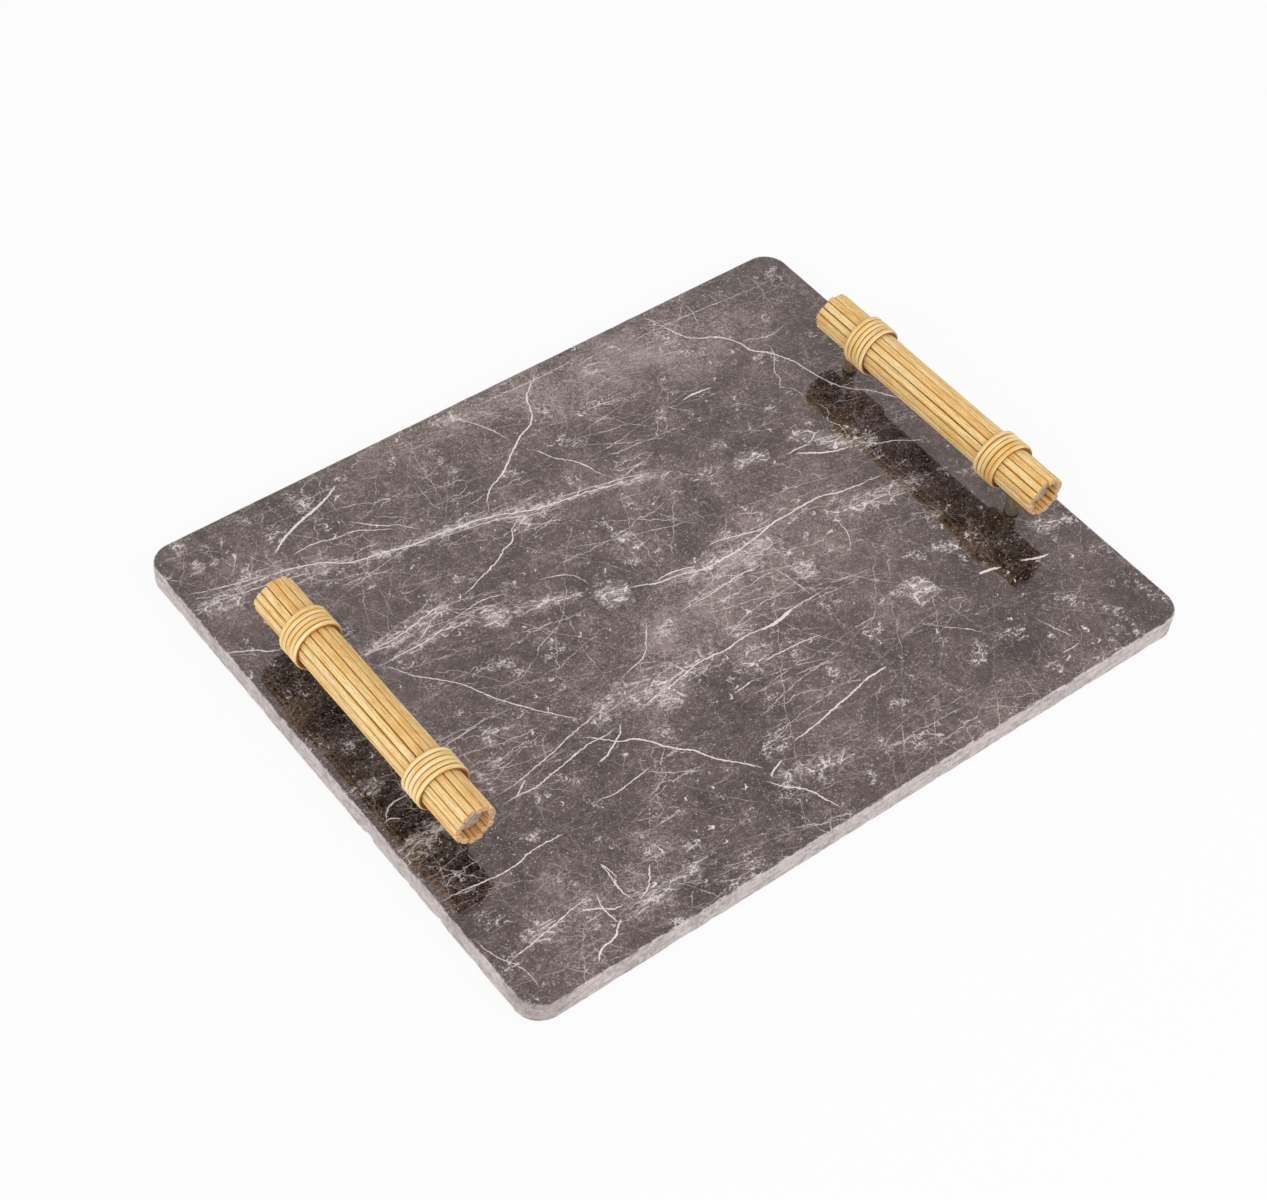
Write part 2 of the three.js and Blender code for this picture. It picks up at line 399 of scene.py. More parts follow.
# Main veins: width in mm, strength, then the points that each runs through, in mm from the slab middle
crispVeins = {
    "arch": (1.0, 1.0, [
        (-50, 96), (-47, 105.5), (-39, 114), (-29.5, 118), (-21, 123.5), (-11, 131), (0, 138),
        (10, 142.3), (15, 147), (18.5, 155), (22.5, 163), (30.5, 169), (36, 174), (39, 181)]),
    "serpent": (0.9, 0.85, [
        (-103, 57), (-92, 58.3), (-82, 62), (-75, 64.5), (-66, 67.5), (-60, 71.8), (-51, 75), (-47, 81),
        (-38, 86.5)]),
    "mainRidge": (1.1, 0.75, [
        (-225, 141), (-200, 133), (-166, 127.5), (-149, 122), (-135, 112.5), (-120, 109), (-102, 104.5),
        (-75, 101), (-50, 96), (-36, 90), (-22, 85), (5, 80.5), (25, 75.5), (39, 71), (63, 60)]),
    "upperBranch": (0.8, 0.6, [
        (-166, 134), (-155, 135.5), (-146, 136), (-130, 132), (-120, 130.8), (-107.5, 123),
        (-94, 115)]),
    "crossBranch": (0.8, 0.65, [
        (-120, 141), (-115, 135), (-104, 124.5), (-97.5, 121), (-92.5, 115), (-87, 108)]),
    "topSpear": (1.7, 1.0, [
        (-167, 140), (-159, 146), (-152.5, 149.8), (-145, 152.6), (-127.5, 158), (-115, 163),
        (-107, 168)]),
    "leftHook": (0.9, 0.95, [(-226, 96.5), (-217.5, 92.6), (-211, 89), (-204, 83.5), (-194, 82.5)]),
    "twinUpper": (1.0, 0.8, [
        (-168, 56), (-155, 53), (-135, 54.5), (-125, 56.4), (-115, 57.6), (-104, 54)]),
    "twinUpperSide": (0.8, 0.7, [(-164, 52), (-157, 51.4), (-150, 49.8), (-137, 52.6)]),
    "twinLower": (0.9, 0.85, [
        (-163, 41), (-145, 41.8), (-138.8, 41), (-130, 41.8), (-122.5, 43), (-109, 40), (-101, 41)]),
    "twinLink": (0.7, 0.6, [(-140, 42.5), (-130, 47), (-120, 53)]),
    "twinRunOut": (0.8, 0.65, [(-113, 44.5), (-100, 47.6), (-91, 48), (-84, 46.4), (-75, 43)]),
    "midHook": (0.7, 0.6, [(-60, 43.5), (-47.5, 39), (-41, 35), (-38, 31), (-36, 21)]),
    "leftLong": (0.8, 0.8, [
        (-166, 47), (-158.8, 37), (-152.5, 26.4), (-145, 18), (-134, 5.8), (-126, -11), (-113.8, -28.8),
        (-108, -36), (-97.5, -48.8), (-92, -53.5)]),
    "lowerLong": (0.95, 0.85, [
        (-109, -55), (-95, -68), (-89.4, -73.8), (-81, -77.5), (-69, -93), (-61, -101), (-55.6, -110.6),
        (-45.6, -122), (-36, -135)]),
    "lowerTail": (0.9, 0.8, [
        (-44, -137), (-37.5, -145.6), (-27.5, -157.5), (-25.6, -164), (-21.5, -176)]),
    "tailFork": (1.3, 0.8, [(-39.5, -139), (-34, -135), (-26, -132.5)]),
    "midSpear": (1.0, 0.8, [
        (-16, -127), (-2.5, -125.4), (10, -123), (35, -119.4), (45, -117), (54, -116)]),
    "spearTip": (1.3, 1.0, [(43, -117.3), (52, -116.3), (61, -116)]),
    "midLine": (0.9, 0.75, [
        (-76, -66), (-65, -62.5), (-40, -58.8), (-20, -55.6), (-5, -57), (10, -55.6), (31, -57),
        (40, -55), (62, -54.6), (80, -54)]),
    "midLineFat": (2.0, 0.95, [(20, -57), (31, -57), (46, -55)]),
    "longMid": (1.1, 0.85, [
        (-36, 15), (-25, 10.8), (-15, 7.5), (-5, 3), (8, 1), (20, -3), (37, -4.4), (62, -2.5),
        (75, 0.5), (90, 1.4), (112, 1.5), (123, -2), (137, -4.4), (165, -6)]),
    "midUpper": (0.9, 0.7, [(-6, 3.5), (2.5, 5), (10, 3.9), (22, -1)]),
    "midBranch": (0.9, 0.8, [(34, 9), (46, 7), (56, 4.5), (66, 1.5), (78, 0.5)]),
    "right": (1.0, 0.9, [
        (117, 183), (124.5, 170.5), (127.5, 159), (134, 147), (149, 137), (155, 127), (157, 118.5),
        (165, 109), (172.5, 94.5), (174.5, 84), (180, 66), (186, 57.5), (193, 51.5), (203, 36.5),
        (213, 22)]),
    "fork": (0.6, 0.75, [
        (168, 119), (167.8, 111), (164.4, 104.5), (157, 96), (156, 89.5), (152, 84), (157, 78),
        (157, 66)]),
    "forkTail": (0.5, 0.6, [(160, 62), (161.5, 51.4), (157, 45.8), (159.4, 38), (156.5, 28)]),
    "forkSide": (0.6, 0.55, [(154, 127), (162.5, 125.8), (170, 122.6), (179, 122), (195, 125)]),
    "upperRight": (0.6, 0.45, [
        (66, 160), (87.5, 161.4), (111, 165), (124, 165), (152, 163.5), (180, 161), (222, 159.5)]),
    "topLine": (0.6, 0.55, [(-18, 174), (2.5, 173), (30, 172), (50, 171.8), (76, 173.5)]),
    "crossTop": (0.7, 0.6, [(-24, 174), (-17.5, 164.5), (-10, 149.5), (-6.5, 137)]),
    "crossMid": (0.8, 0.55, [
        (-3, 130), (2, 121), (6, 113.5), (12.5, 106), (17, 98), (19.4, 89.5), (24, 80)]),
    "rightDiagonal": (1.2, 0.9, [(122, 36), (130, 31.4), (137.5, 27), (145, 24), (155, 21.5)]),
    "rightRunOut": (0.9, 0.65, [(154, 24), (162.5, 19.5), (169, 14.5), (177.5, 10.8), (194, 0)]),
    "dash": (1.4, 0.8, [(95, 107), (102, 108), (118, 107)]),
    "rightLowA": (1.7, 0.95, [(147, -95.5), (153, -96.5), (162, -99.5)]),
    "rightLowB": (1.6, 0.95, [(174, -101.5), (182.5, -105.6), (192, -107.5)]),
    "lineAtTwenty": (0.8, 0.65, [(-12, -20.6), (0, -20.6), (12.5, -20.6), (37.5, -19), (58, -20)]),
    "rising": (0.8, 0.6, [(-66, -40), (-47.5, -36), (-41, -32.5), (-35, -26), (-24, -14)]),
    "lowRight": (0.9, 0.65, [(5, -75.3), (15, -74.8), (37.5, -77), (50, -79)]),
    "lowDash": (0.8, 0.65, [(-20, -83.3), (-12, -82.3), (-4, -82)]),
    "upright": (0.6, 0.55, [(55.5, -24), (58, -37.5), (60.5, -54)]),
    "lowTwinUpper": (0.8, 0.7, [
        (-168, -65.6), (-140, -62.5), (-127.5, -60), (-105, -55), (-92.5, -52.5), (-75, -50)]),
    "lowTwinLower": (0.9, 0.8, [
        (-168, -72.5), (-155, -71), (-144, -72), (-130, -70), (-105, -66), (-92.5, -66), (-80, -64.5)]),
    "lowTwinFork": (1.0, 0.8, [(-154.5, -71.5), (-149, -67.5), (-144, -64.5)]),
    "crossLink": (1.1, 0.9, [(-108, -78), (-100, -77), (-94, -73.8), (-87.5, -70.6), (-80, -63)]),
    "leftLow": (0.8, 0.75, [
        (-226, -101.5), (-206, -103.5), (-190, -106), (-177.5, -105.6), (-168, -103.6), (-143, -105)]),
    "leftLowNext": (0.8, 0.7, [(-126, -97.5), (-107.5, -98.5), (-97.5, -97.5), (-82, -94.8)]),
    "spokeA": (1.0, 0.85, [(-170, -147.5), (-165, -149.5), (-159.5, -152.3)]),
    "spokeB": (0.8, 0.85, [(-156.5, -142.5), (-159.8, -152), (-157.8, -164)]),
    "spokeC": (0.8, 0.75, [(-160, -152), (-156, -155.3), (-150, -156)]),
    "bottomSpear": (1.2, 0.95, [
        (-182, -177.5), (-175, -171.5), (-166, -169.4), (-160.6, -165), (-155, -162)]),
    "bottomHook": (0.9, 0.75, [(-145, -159), (-134, -155.6), (-129, -150), (-124, -143.5)]),
    "lowLeftLine": (0.8, 0.6, [(-222, -150.5), (-196, -148), (-175, -144), (-150, -141.8)]),
    "inverted": (0.8, 0.75, [(-144.6, -128), (-145, -137), (-146, -150), (-143.5, -159)]),
    "invertedSide": (0.8, 0.75, [(-145, -129), (-143.6, -135), (-142.8, -142)]),
    "edgeVein": (0.7, 0.5, [(-223, -126), (-219, -146), (-214, -154), (-212.5, -166), (-216, -177)]),
    "besideWrap": (0.8, 0.65, [(-170, -23.3), (-156, -22.5), (-142, -21.5)]),
    "darkHook": (0.9, 0.9, [(-217, -46), (-213, -40.3), (-206, -37.6), (-198, -38.8)]),
    "darkHookTail": (0.8, 0.8, [(-219, -45.8), (-214.5, -46), (-210, -48.5)]),
    "ridgeUpper": (0.8, 0.55, [(-226, 146), (-205, 138), (-185, 133), (-166, 128)]),
    "ridgeLower": (0.8, 0.55, [(-226, 134), (-195, 127.5), (-165, 121), (-140, 113.5)]),
    "ridgeSide": (0.8, 0.55, [(-95, 101.5), (-70, 97), (-50, 92.5), (-30, 84), (-5, 79)]),
    "ridgeEnd": (0.8, 0.6, [(-20, 87.5), (5, 83), (30, 77), (52, 67.5)]),
    "rightStroke": (1.0, 0.8, [(118, 38), (127, 38), (136, 37)]),
    "topRightDrop": (0.7, 0.4, [(146, 180), (147, 174), (149, 170), (148, 163), (143, 150)]),
    "lowEdgeDash": (0.8, 0.6, [(145, -165), (152, -165.4), (160, -165)]),
    "rightSlant": (0.7, 0.45, [(92, -100), (112, -120), (130, -140)]),
    "rightSlantNext": (0.7, 0.45, [(150, -135), (156, -152), (163, -165)]),
    "shortDrop": (0.7, 0.6, [(108, -17), (107, -30), (100, -40)]),
}

# Pale clouds, listed in the same way
cloudBands = {
    "mainCloud": (4.2, 0.45, [
        (-225, 140), (-200, 133), (-166, 126), (-145, 119), (-120, 108), (-95, 104), (-60, 99),
        (-36, 90), (5, 81), (39, 71), (66, 58), (110, 43)]),
    "leftUpper": (7.0, 0.5, [(-226, 131), (-210, 128), (-190, 124)]),
    "twinCloud": (6.0, 0.6, [(-172, 54), (-150, 53), (-125, 55), (-100, 55)]),
    "twinLowCloud": (4.0, 0.5, [(-165, 42), (-138, 41.5), (-100, 42)]),
    "tangle": (7.0, 0.95, [(-101, 37), (-92, 34), (-84, 32)]),
    "descend": (4.0, 0.65, [(-86, 33), (-70, 29.5), (-54, 24), (-40, 18)]),
    "knot": (8.0, 0.95, [(-40, 14), (-29, 10), (-18, 8)]),
    "junction": (7.0, 0.8, [(-43, 92), (-37, 88), (-31, 89)]),
    "junctionTail": (3.0, 0.9, [(-35.5, 90), (-36.5, 83), (-40, 75)]),
    "midCloud": (10.0, 0.55, [(-100, -53), (-70, -52), (-45, -57), (-20, -55), (0, -56)]),
    "midCloudLow": (7.0, 0.6, [(-60, -62), (-48, -66), (-38, -66)]),
    "longCloud": (7.0, 0.55, [(0, 0), (30, -5), (55, -8), (80, -12)]),
    "whiteBlock": (5.0, 1.0, [(41, -15), (47, -15.5), (54, -15)]),
    "whiteBlockNext": (5.0, 0.7, [(56, -10), (64, -8), (70, -13)]),
    "lowerBlock": (6.5, 0.95, [(62, -38), (68, -37), (76, -40)]),
    "rightBand": (6.0, 0.75, [(100, -15), (122, -16), (145, -19), (165, -20), (180, -24)]),
    "whiteBurst": (8.0, 1.0, [(103, -92), (108, -86), (115, -83), (124, -87)]),
    "rightCloud": (5.0, 0.95, [(127, 52), (133, 47), (140, 41), (148, 31), (158, 21), (170, 13)]),
    "smallCloudA": (4.5, 0.8, [(87, 48), (94, 49), (100, 47), (109, 44)]),
    "smallCloudB": (5.0, 0.6, [(86, 70), (90, 66), (94, 62)]),
    "fossil": (3.6, 1.0, [(-205, 163), (-205.5, 157), (-208, 152)]),
    "fossilNext": (2.4, 0.95, [(-199, 157.5), (-196, 155.5), (-192, 154)]),
    "paleSpot": (2.2, 0.9, [(-137, 92), (-134.5, 91), (-133, 90)]),
    "crescent": (2.4, 0.9, [(-1, 30), (4, 31.5), (9, 31)]),
    "crescentCloud": (6.0, 0.5, [(-3, 38), (4, 39), (9, 40)]),
    "fishA": (4.0, 0.8, [(-147, -36), (-143, -31), (-137, -26)]),
    "fishB": (3.0, 0.75, [(-136, -37), (-134, -34), (-131, -31)]),
    "burstLeft": (3.0, 0.9, [(-156, -49), (-151, -48.5), (-146, -46.5)]),
    "star": (6.0, 0.8, [(-216, -26), (-211, -22), (-205, -21)]),
    "lowLeftCloud": (8.0, 0.45, [(-224, -70), (-205, -66), (-190, -62)]),
    "bottomCloud": (7.0, 0.5, [(-205, -148), (-190, -145), (-178, -143)]),
    "bottomBand": (5.0, 0.5, [(-158, -166), (-137, -162), (-112, -159), (-88, -155)]),
    "lowRightCloud": (9.0, 0.5, [(-10, -70), (5, -70), (20, -71)]),
    "rightEnd": (6.0, 0.5, [(190, -84), (205, -88), (226, -96)]),
    "rightJoin": (4.0, 0.8, [(138, -64), (146, -70), (155, -73)]),
    "bottomSmear": (7.0, 0.4, [(-40, -138), (-20, -146), (0, -150), (15, -158)]),
    "topSmear": (6.0, 0.45, [(-40, 176), (-24, 173), (-12, 165)]),
    "lowBlotchA": (2.0, 1.0, [(148, -153), (150, -152.5), (153, -153)]),
    "lowBlotchB": (3.0, 1.0, [(180, -169), (183, -170), (187, -170)]),
    "topBlotch": (4.0, 0.8, [(-134, 164), (-130, 165), (-126, 165)]),
}

# Broad parts of the slab that are paler than the rest
paleZones = {
    "middle": (48, 1.0, [(-130, -58), (-60, -40), (30, -15), (130, 10)]),
    "topEdge": (45, 1.3, [(-90, 170), (40, 160), (140, 148), (224, 135)]),
    "mainBand": (26, 0.42, [(-226, 140), (-120, 112), (-30, 90), (60, 62)]),
    "lowLeft": (30, 0.75, [(-225, -150), (-170, -145), (-100, -150)]),
}

# Broad parts that are darker, with fewer fine lines
dimZones = {
    "rightEnd": (60, 0.85, [(120, -170), (165, -110), (205, -40), (215, 0)]),
    "leftEdge": (26, 0.5, [(-215, -90), (-212, -20), (-214, 60)]),
    "rightCorner": (42, 0.9, [(180, -182), (205, -160), (224, -118)]),
}

marbleLook = {
    "dark": shade(22, 15, 14),
    "middle": shade(75, 63, 60),
    "pale": shade(137, 120, 117),
    "olive": shade(88, 74, 58),
    "haze": shade(182, 170, 166),
    "vein": shade(238, 227, 223),
    "honed": shade(212, 202, 200),
    # the darker honed tone, and also the painted shade on the bottom edge
    "honedDarkAndEdgeShade": shade(164, 152, 150),
    # a painted highlight along the top arris
    "arris": shade(236, 228, 226),
    "mirrored": (1, 0.83, 0.81, 1),  # a faint warmth in what the polish mirrors
    "shine": 0.97,
    "polish": 0.04,
    "honedRough": 0.42,
    "veinWidth": 0.62,  # share of the widths listed with the veins
    "cloudWidth": 1.5,
    "taper": 0.14,  # share of a line's length over which each end fades
    "bends": [(0.06, 2, 2.4), (0.4, 3, 2.0)],  # scale, detail and reach in mm of random shifts
    "tears": [(0.16, 4, 9.0)],
    "sweeps": [(0.016, 1, 13.0), (0.11, 3, 6.0)],
    "grain": (0.9, 3, 0.75),  # scale, detail and roughness of noises, from fine to broad
    "flour": (0.33, 4, 0.7),
    "breakUp": (0.15, 3, 0.6),
    "mottle": (0.05, 5, 0.65),
    "drift": (0.014, 2, 0.5),
    "fibres": [(12, -14, 0.26, 0.4), (9, 4, 0.22, 0.4)],  # stretch, degrees, scale, width in mm
    "flatHairs": [(14, -12, 0.05, 0.35), (12, 7, 0.045, 0.35), (10, -27, 0.04, 0.3)],
    "steepHairs": [(12, -56, 0.04, 0.28), (12, 50, 0.035, 0.28), (10, 78, 0.03, 0.25)],
    "salt": 0.9,  # strengths of the hazy marks
    "thicket": 0.35,
    "cloudHaze": 0.22,
    "dust": 0.8,
    "hairs": 0.9,  # strengths of the bright marks
    "flecks": 0.85,
    "shells": 0.95,
    "darkCorner": (-222, -180, 9),  # mm, where the honed edge is less pale
}


def tracedLines(finish, spot, lines, widen):  # the strongest of the listed lines at a spot
    taper = marbleLook["taper"]
    x, y = finish.parts(spot, 2)
    best = 0.0
    for width, strength, places in lines.values():
        here = finish.node("ShaderNodeCombineXYZ", {}, {0: x, 1: y, 2: best})  # z keeps the lines in order
        points = [Vector(place) for place in places]
        run = (points[-1] - points[0]).normalized()
        aside = Vector((-run.y, run.x))
        along = finish.vector("DOT_PRODUCT", here, (run.x, run.y, 0))
        across = finish.vector("DOT_PRODUCT", here, (aside.x, aside.y, 0))
        course = finish.curve(along, [(point.dot(run), point.dot(aside)) for point in points])
        start = points[0].dot(run)
        stop = points[-1].dot(run)
        fade = taper * (stop - start)
        swell = [(start, 0.0), (start + fade, strength), (stop - fade, strength), (stop, 0.0)]
        nearness = finish.ramp(abs(across - course), width * widen, 0, shape="LINEAR")
        best = (finish.curve(along, swell) * nearness).most(best)
    return best


def hairlines(finish, spot, stretch, turn, scale, width):  # fine random lines along one direction
    step = 0.5
    combed = finish.combed(spot, stretch, turn)
    level = finish.noise(combed, scale, 1, 0.3)
    beside = finish.noise(finish.vector("ADD", combed, (0, step, 0)), scale, 1, 0.3)
    slope = (1 / step) * abs(beside - level)  # change for each millimetre across the line
    return (1 - abs(level - 0.5) / (width * slope + 0.0004)).clamped()


def manyHairs(finish, spot, families):
    return strongest(*[hairlines(finish, spot, *family) for family in families])


def shellMarks(finish, spot, scale, chance):  # small crescents, as of broken shells
    here = finish.cells(spot, scale)
    beside = finish.cells(finish.vector("ADD", spot, (0.9, -0.5, 0)), scale)
    size = finish.ramp(finish.luck(spot, scale), chance, 1.0, 0.0, 0.3)
    return finish.ramp(size - here, 0.0, 0.08) * finish.ramp(beside - 0.8 * size, -0.02, 0.06)


def swayed(finish, spot, sways):  # a spot moved by soft random shifts
    moved = spot
    for scale, detail, reach in sways:
        pull = finish.vector("SUBTRACT", finish.noise(spot, scale, detail, 0.6, output=1), (0.5, 0.5, 0.5))
        moved = finish.vector("ADD", moved, finish.vector("SCALE", pull, scale=reach))
    return moved


def stoneParts(finish):  # the places and soft patterns that the marks of the stone share
    look = marbleLook
    stone = SimpleNamespace(spot=finish.place())
    stone.bent = swayed(finish, stone.spot, look["bends"])
    stone.torn = swayed(finish, stone.spot, look["tears"])
    stone.swept = swayed(finish, stone.spot, look["sweeps"])
    stone.grain = finish.noise(stone.spot, *look["grain"])
    stone.flour = finish.noise(stone.spot, *look["flour"])
    stone.breakUp = finish.noise(stone.spot, *look["breakUp"])
    stone.mottle = finish.noise(stone.swept, *look["mottle"])
    stone.drift = finish.noise(stone.spot, *look["drift"])
    stone.gather = finish.ramp(finish.noise(stone.swept, 0.035, 2, 0.5), 0.42, 0.62)
    feather = finish.noise(finish.combed(stone.bent, 3.5, -12), 0.55, 4, 0.7)
    stone.powder = 0.5 * stone.grain + 0.5 * feather
    stone.dim = tracedLines(finish, stone.swept, dimZones, 1.0)
    stone.zones = tracedLines(finish, stone.swept, paleZones, 1.0) - stone.dim
    stone.clouds = tracedLines(finish, stone.torn, cloudBands, look["cloudWidth"])
    stone.clouded = finish.ramp(stone.clouds + 1.2 * (stone.flour - 0.5), 0.1, 0.8)
    fibres = manyHairs(finish, stone.swept, look["fibres"])
    crackle = finish.ramp(finish.cells(finish.combed(stone.bent, 2), 0.13, "DISTANCE_TO_EDGE"), 0.05, 0.015)
    stone.strands = fibres.most(crackle) * finish.ramp(stone.flour, 0.40, 0.54)
    return stone


def groundColour(finish, stone):  # the plain stone between its marks
    look = marbleLook
    level = 0.42 * stone.grain + 0.27 * stone.flour + 0.31 * stone.mottle
    level = level + 0.2 * (stone.drift - 0.5) + 0.05 * stone.zones
    colour = finish.mix(finish.ramp(level, 0.40, 0.51), look["dark"], look["middle"])
    colour = finish.mix(finish.ramp(level, 0.50, 0.63), colour, look["pale"])
    return finish.mix(0.15 * finish.ramp(stone.drift, 0.5, 0.66), colour, look["olive"])


def hazyMarks(finish, stone):  # salt, thickets of fibres, soft clouds and dust
    look = marbleLook
    dots = finish.ramp(finish.cells(stone.bent, 0.55), 0.30, 0.12)
    salt = dots * finish.ramp(finish.luck(stone.bent, 0.55), 0.35, 0.9)
    thicket = stone.strands * stone.gather * finish.ramp(stone.breakUp, 0.42, 0.62)
    dusty = stone.powder + 0.10 * stone.clouds + 0.12 * (stone.mottle - 0.5) + 0.035 * stone.zones
    dust = finish.ramp(dusty, 0.575, 0.69)
    marks = strongest(look["salt"] * salt, look["thicket"] * thicket)
    return strongest(marks, look["cloudHaze"] * stone.clouded, look["dust"] * dust).clamped()


def brightMarks(finish, stone):  # veins, hairlines, flecks and shells
    look = marbleLook
    traced = tracedLines(finish, stone.bent, crispVeins, look["veinWidth"])
    crisp = finish.ramp(traced - 0.8 * (stone.breakUp - 0.44), 0.1, 0.7)
    flatHairs = manyHairs(finish, stone.swept, look["flatHairs"]) * (0.4 + 0.6 * stone.gather)
    steepHairs = 0.7 * manyHairs(finish, stone.swept, look["steepHairs"])
    seen = finish.ramp(finish.noise(stone.spot, 0.03, 2, 0.5), 0.45, 0.6, 0.3, 1.0)
    seen = seen * finish.ramp(stone.breakUp, 0.3, 0.5) * (1 - 0.7 * stone.dim).clamped()
    hairs = flatHairs.most(steepHairs) * seen
    fleckSpots = finish.ramp(finish.noise(stone.torn, 0.07, 4, 0.65), 0.58, 0.655)
    fleckLines = hairlines(finish, stone.bent, 1.5, 25, 0.14, 0.5)
    flecks = finish.ramp(stone.powder, 0.48, 0.6).most(fleckLines) * fleckSpots
    smallShells = 0.6 * shellMarks(finish, stone.bent, 0.33, 0.7) * stone.gather
    shells = shellMarks(finish, stone.torn, 0.13, 0.72).most(smallShells)
    marks = strongest(crisp, look["hairs"] * hairs, stone.clouded * stone.strands)
    return strongest(marks, look["flecks"] * flecks, look["shells"] * shells).clamped()


# Besides the honed colour, the edge gets a painted highlight on its top arris and painted shade on its
# bottom arris
def honedEdge(finish, stone, colour):  # colour, share of honing and relief, with the matt edge put on
    look = marbleLook
    tilt = finish.upwards()
    honed = finish.ramp(abs(tilt), 0.85, 0.4)
    nearCorner = finish.ramp(finish.vector("DISTANCE", stone.spot, look["darkCorner"]), 30, 12)
    honeMarks = finish.noise(finish.vector("MULTIPLY", stone.spot, (0.07, 0.07, 0.9)), 1.0, 5, 0.7)
    paleness = finish.ramp(0.7 * honeMarks + 0.3 * stone.flour, 0.36, 0.6)
    honedTone = finish.mix(paleness, look["honedDarkAndEdgeShade"], look["honed"])
    rawness = finish.ramp(0.5 * stone.mottle + 0.5 * stone.flour, 0.36, 0.56, 0.55, 0.95)
    colour = finish.mix(honed * rawness * (1 - 0.4 * nearCorner), colour, honedTone)
    # Painted highlight: a pale line along the rounded top arris, where the light catches the edge
    arris = finish.ramp(tilt, 0.4, 0.6) * finish.ramp(tilt, 0.95, 0.8)
    arris = arris * finish.ramp(stone.breakUp, 0.38, 0.62)
    colour = finish.mix(0.55 * arris * (1 - 0.6 * nearCorner), colour, look["arris"])
    # Painted shade: the rounded bottom edge, which faces down, is darkened
    paintedLowEdgeShade = finish.ramp(tilt, -0.1, -0.4) * finish.ramp(tilt, -0.95, -0.7)
    colour = finish.mix(0.6 * paintedLowEdgeShade, colour, look["honedDarkAndEdgeShade"])
    return colour, honed, (0.4 * honeMarks + 0.3 * stone.grain) * honed


def marbleFinish():
    look = marbleLook
    finish = newFinish("polishedMarble")
    stone = stoneParts(finish)
    colour = groundColour(finish, stone)
    colour = finish.mix(hazyMarks(finish, stone), colour, look["haze"])
    colour = finish.mix(brightMarks(finish, stone), colour, look["vein"])
    colour, honed, height = honedEdge(finish, stone, colour)
    rough = look["polish"] + 0.03 * stone.grain + honed * (look["honedRough"] - look["polish"])
    relief = finish.bump(height, 0.35, 0.4 * mm)
    shine = look["shine"]
    return finish.surface(colour=colour, rough=rough, shine=shine, tint=look["mirrored"], normal=relief)


def slabLoop(inset, height):
    shape = slabShape
    radius = shape["cornerRadius"]
    halfX = slabHigh.x - radius
    halfY = slabHigh.y - radius
    corners = [(halfX, halfY), (-halfX, halfY), (-halfX, -halfY), (halfX, -halfY)]
    loop = []
    for number, (x, y) in enumerate(corners):
        arc = []
        for step in range(shape["cornerSteps"] + 1):
            angle = (number + step / shape["cornerSteps"]) * math.pi / 2
            reach = radius - inset
            arc.append(Vector((x + reach * math.cos(angle), y + reach * math.sin(angle), height)))
        loop.extend(arc)
        nextX, nextY = corners[(number + 1) % 4]
        straight = Vector((nextX - x, nextY - y, 0))
        steps = round(straight.length / shape["straightStep"])
        loop.extend(arc[-1] + straight * (step / steps) for step in range(1, steps))
    return loop


def edgeLoops():  # loops round the edge from the bottom face to the top face
    shape = slabShape
    rounding = shape["edgeRound"]
    loops = [slabLoop(rounding + shape["flatRim"], slabLow.z)]
    for cornerZ, start in ((slabLow.z + rounding, -90), (slabTop - rounding, 0)):
        for step in range(shape["edgeSteps"] + 1):
            angle = math.radians(start + 90 * step / shape["edgeSteps"])
            loops.append(slabLoop(rounding * (1 - math.cos(angle)), cornerZ + rounding * math.sin(angle)))
    loops.append(slabLoop(rounding + shape["flatRim"], slabTop))
    return loops


def handFinished(loops):  # the hand-ground edge wanders a little, always inwards
    shape = slabShape
    halfX = slabHigh.x - shape["cornerRadius"]
    halfY = slabHigh.y - shape["cornerRadius"]
    for loop in loops[1:-1]:
        for point in loop:
            spot = Vector(point)
            innerX = min(max(spot.x, -halfX), halfX)
            innerY = min(max(spot.y, -halfY), halfY)
            outward = Vector((spot.x - innerX, spot.y - innerY, 0)).normalized()
            lowness = min(1, max(0, 1 - (spot.z - slabLow.z) / shape["brokenHeight"]))
            depth = shape["handFinish"] + lowness * (shape["brokenEdge"] - shape["handFinish"])
            waver = noise.noise(spot / shape["longWaver"]) + 0.6 * noise.noise(spot / shape["shortWaver"])
            inward = depth * max(0, waver + 0.1)
            for x, y, half, deep in shape["chips"]:
                near = (spot.xy - Vector((x, y)) * mm).length / (half * mm)
                inward += deep * mm * lowness * max(0, 1 - near ** 2) * (0.8 + 0.5 * waver)
            point -= outward * max(0, inward)


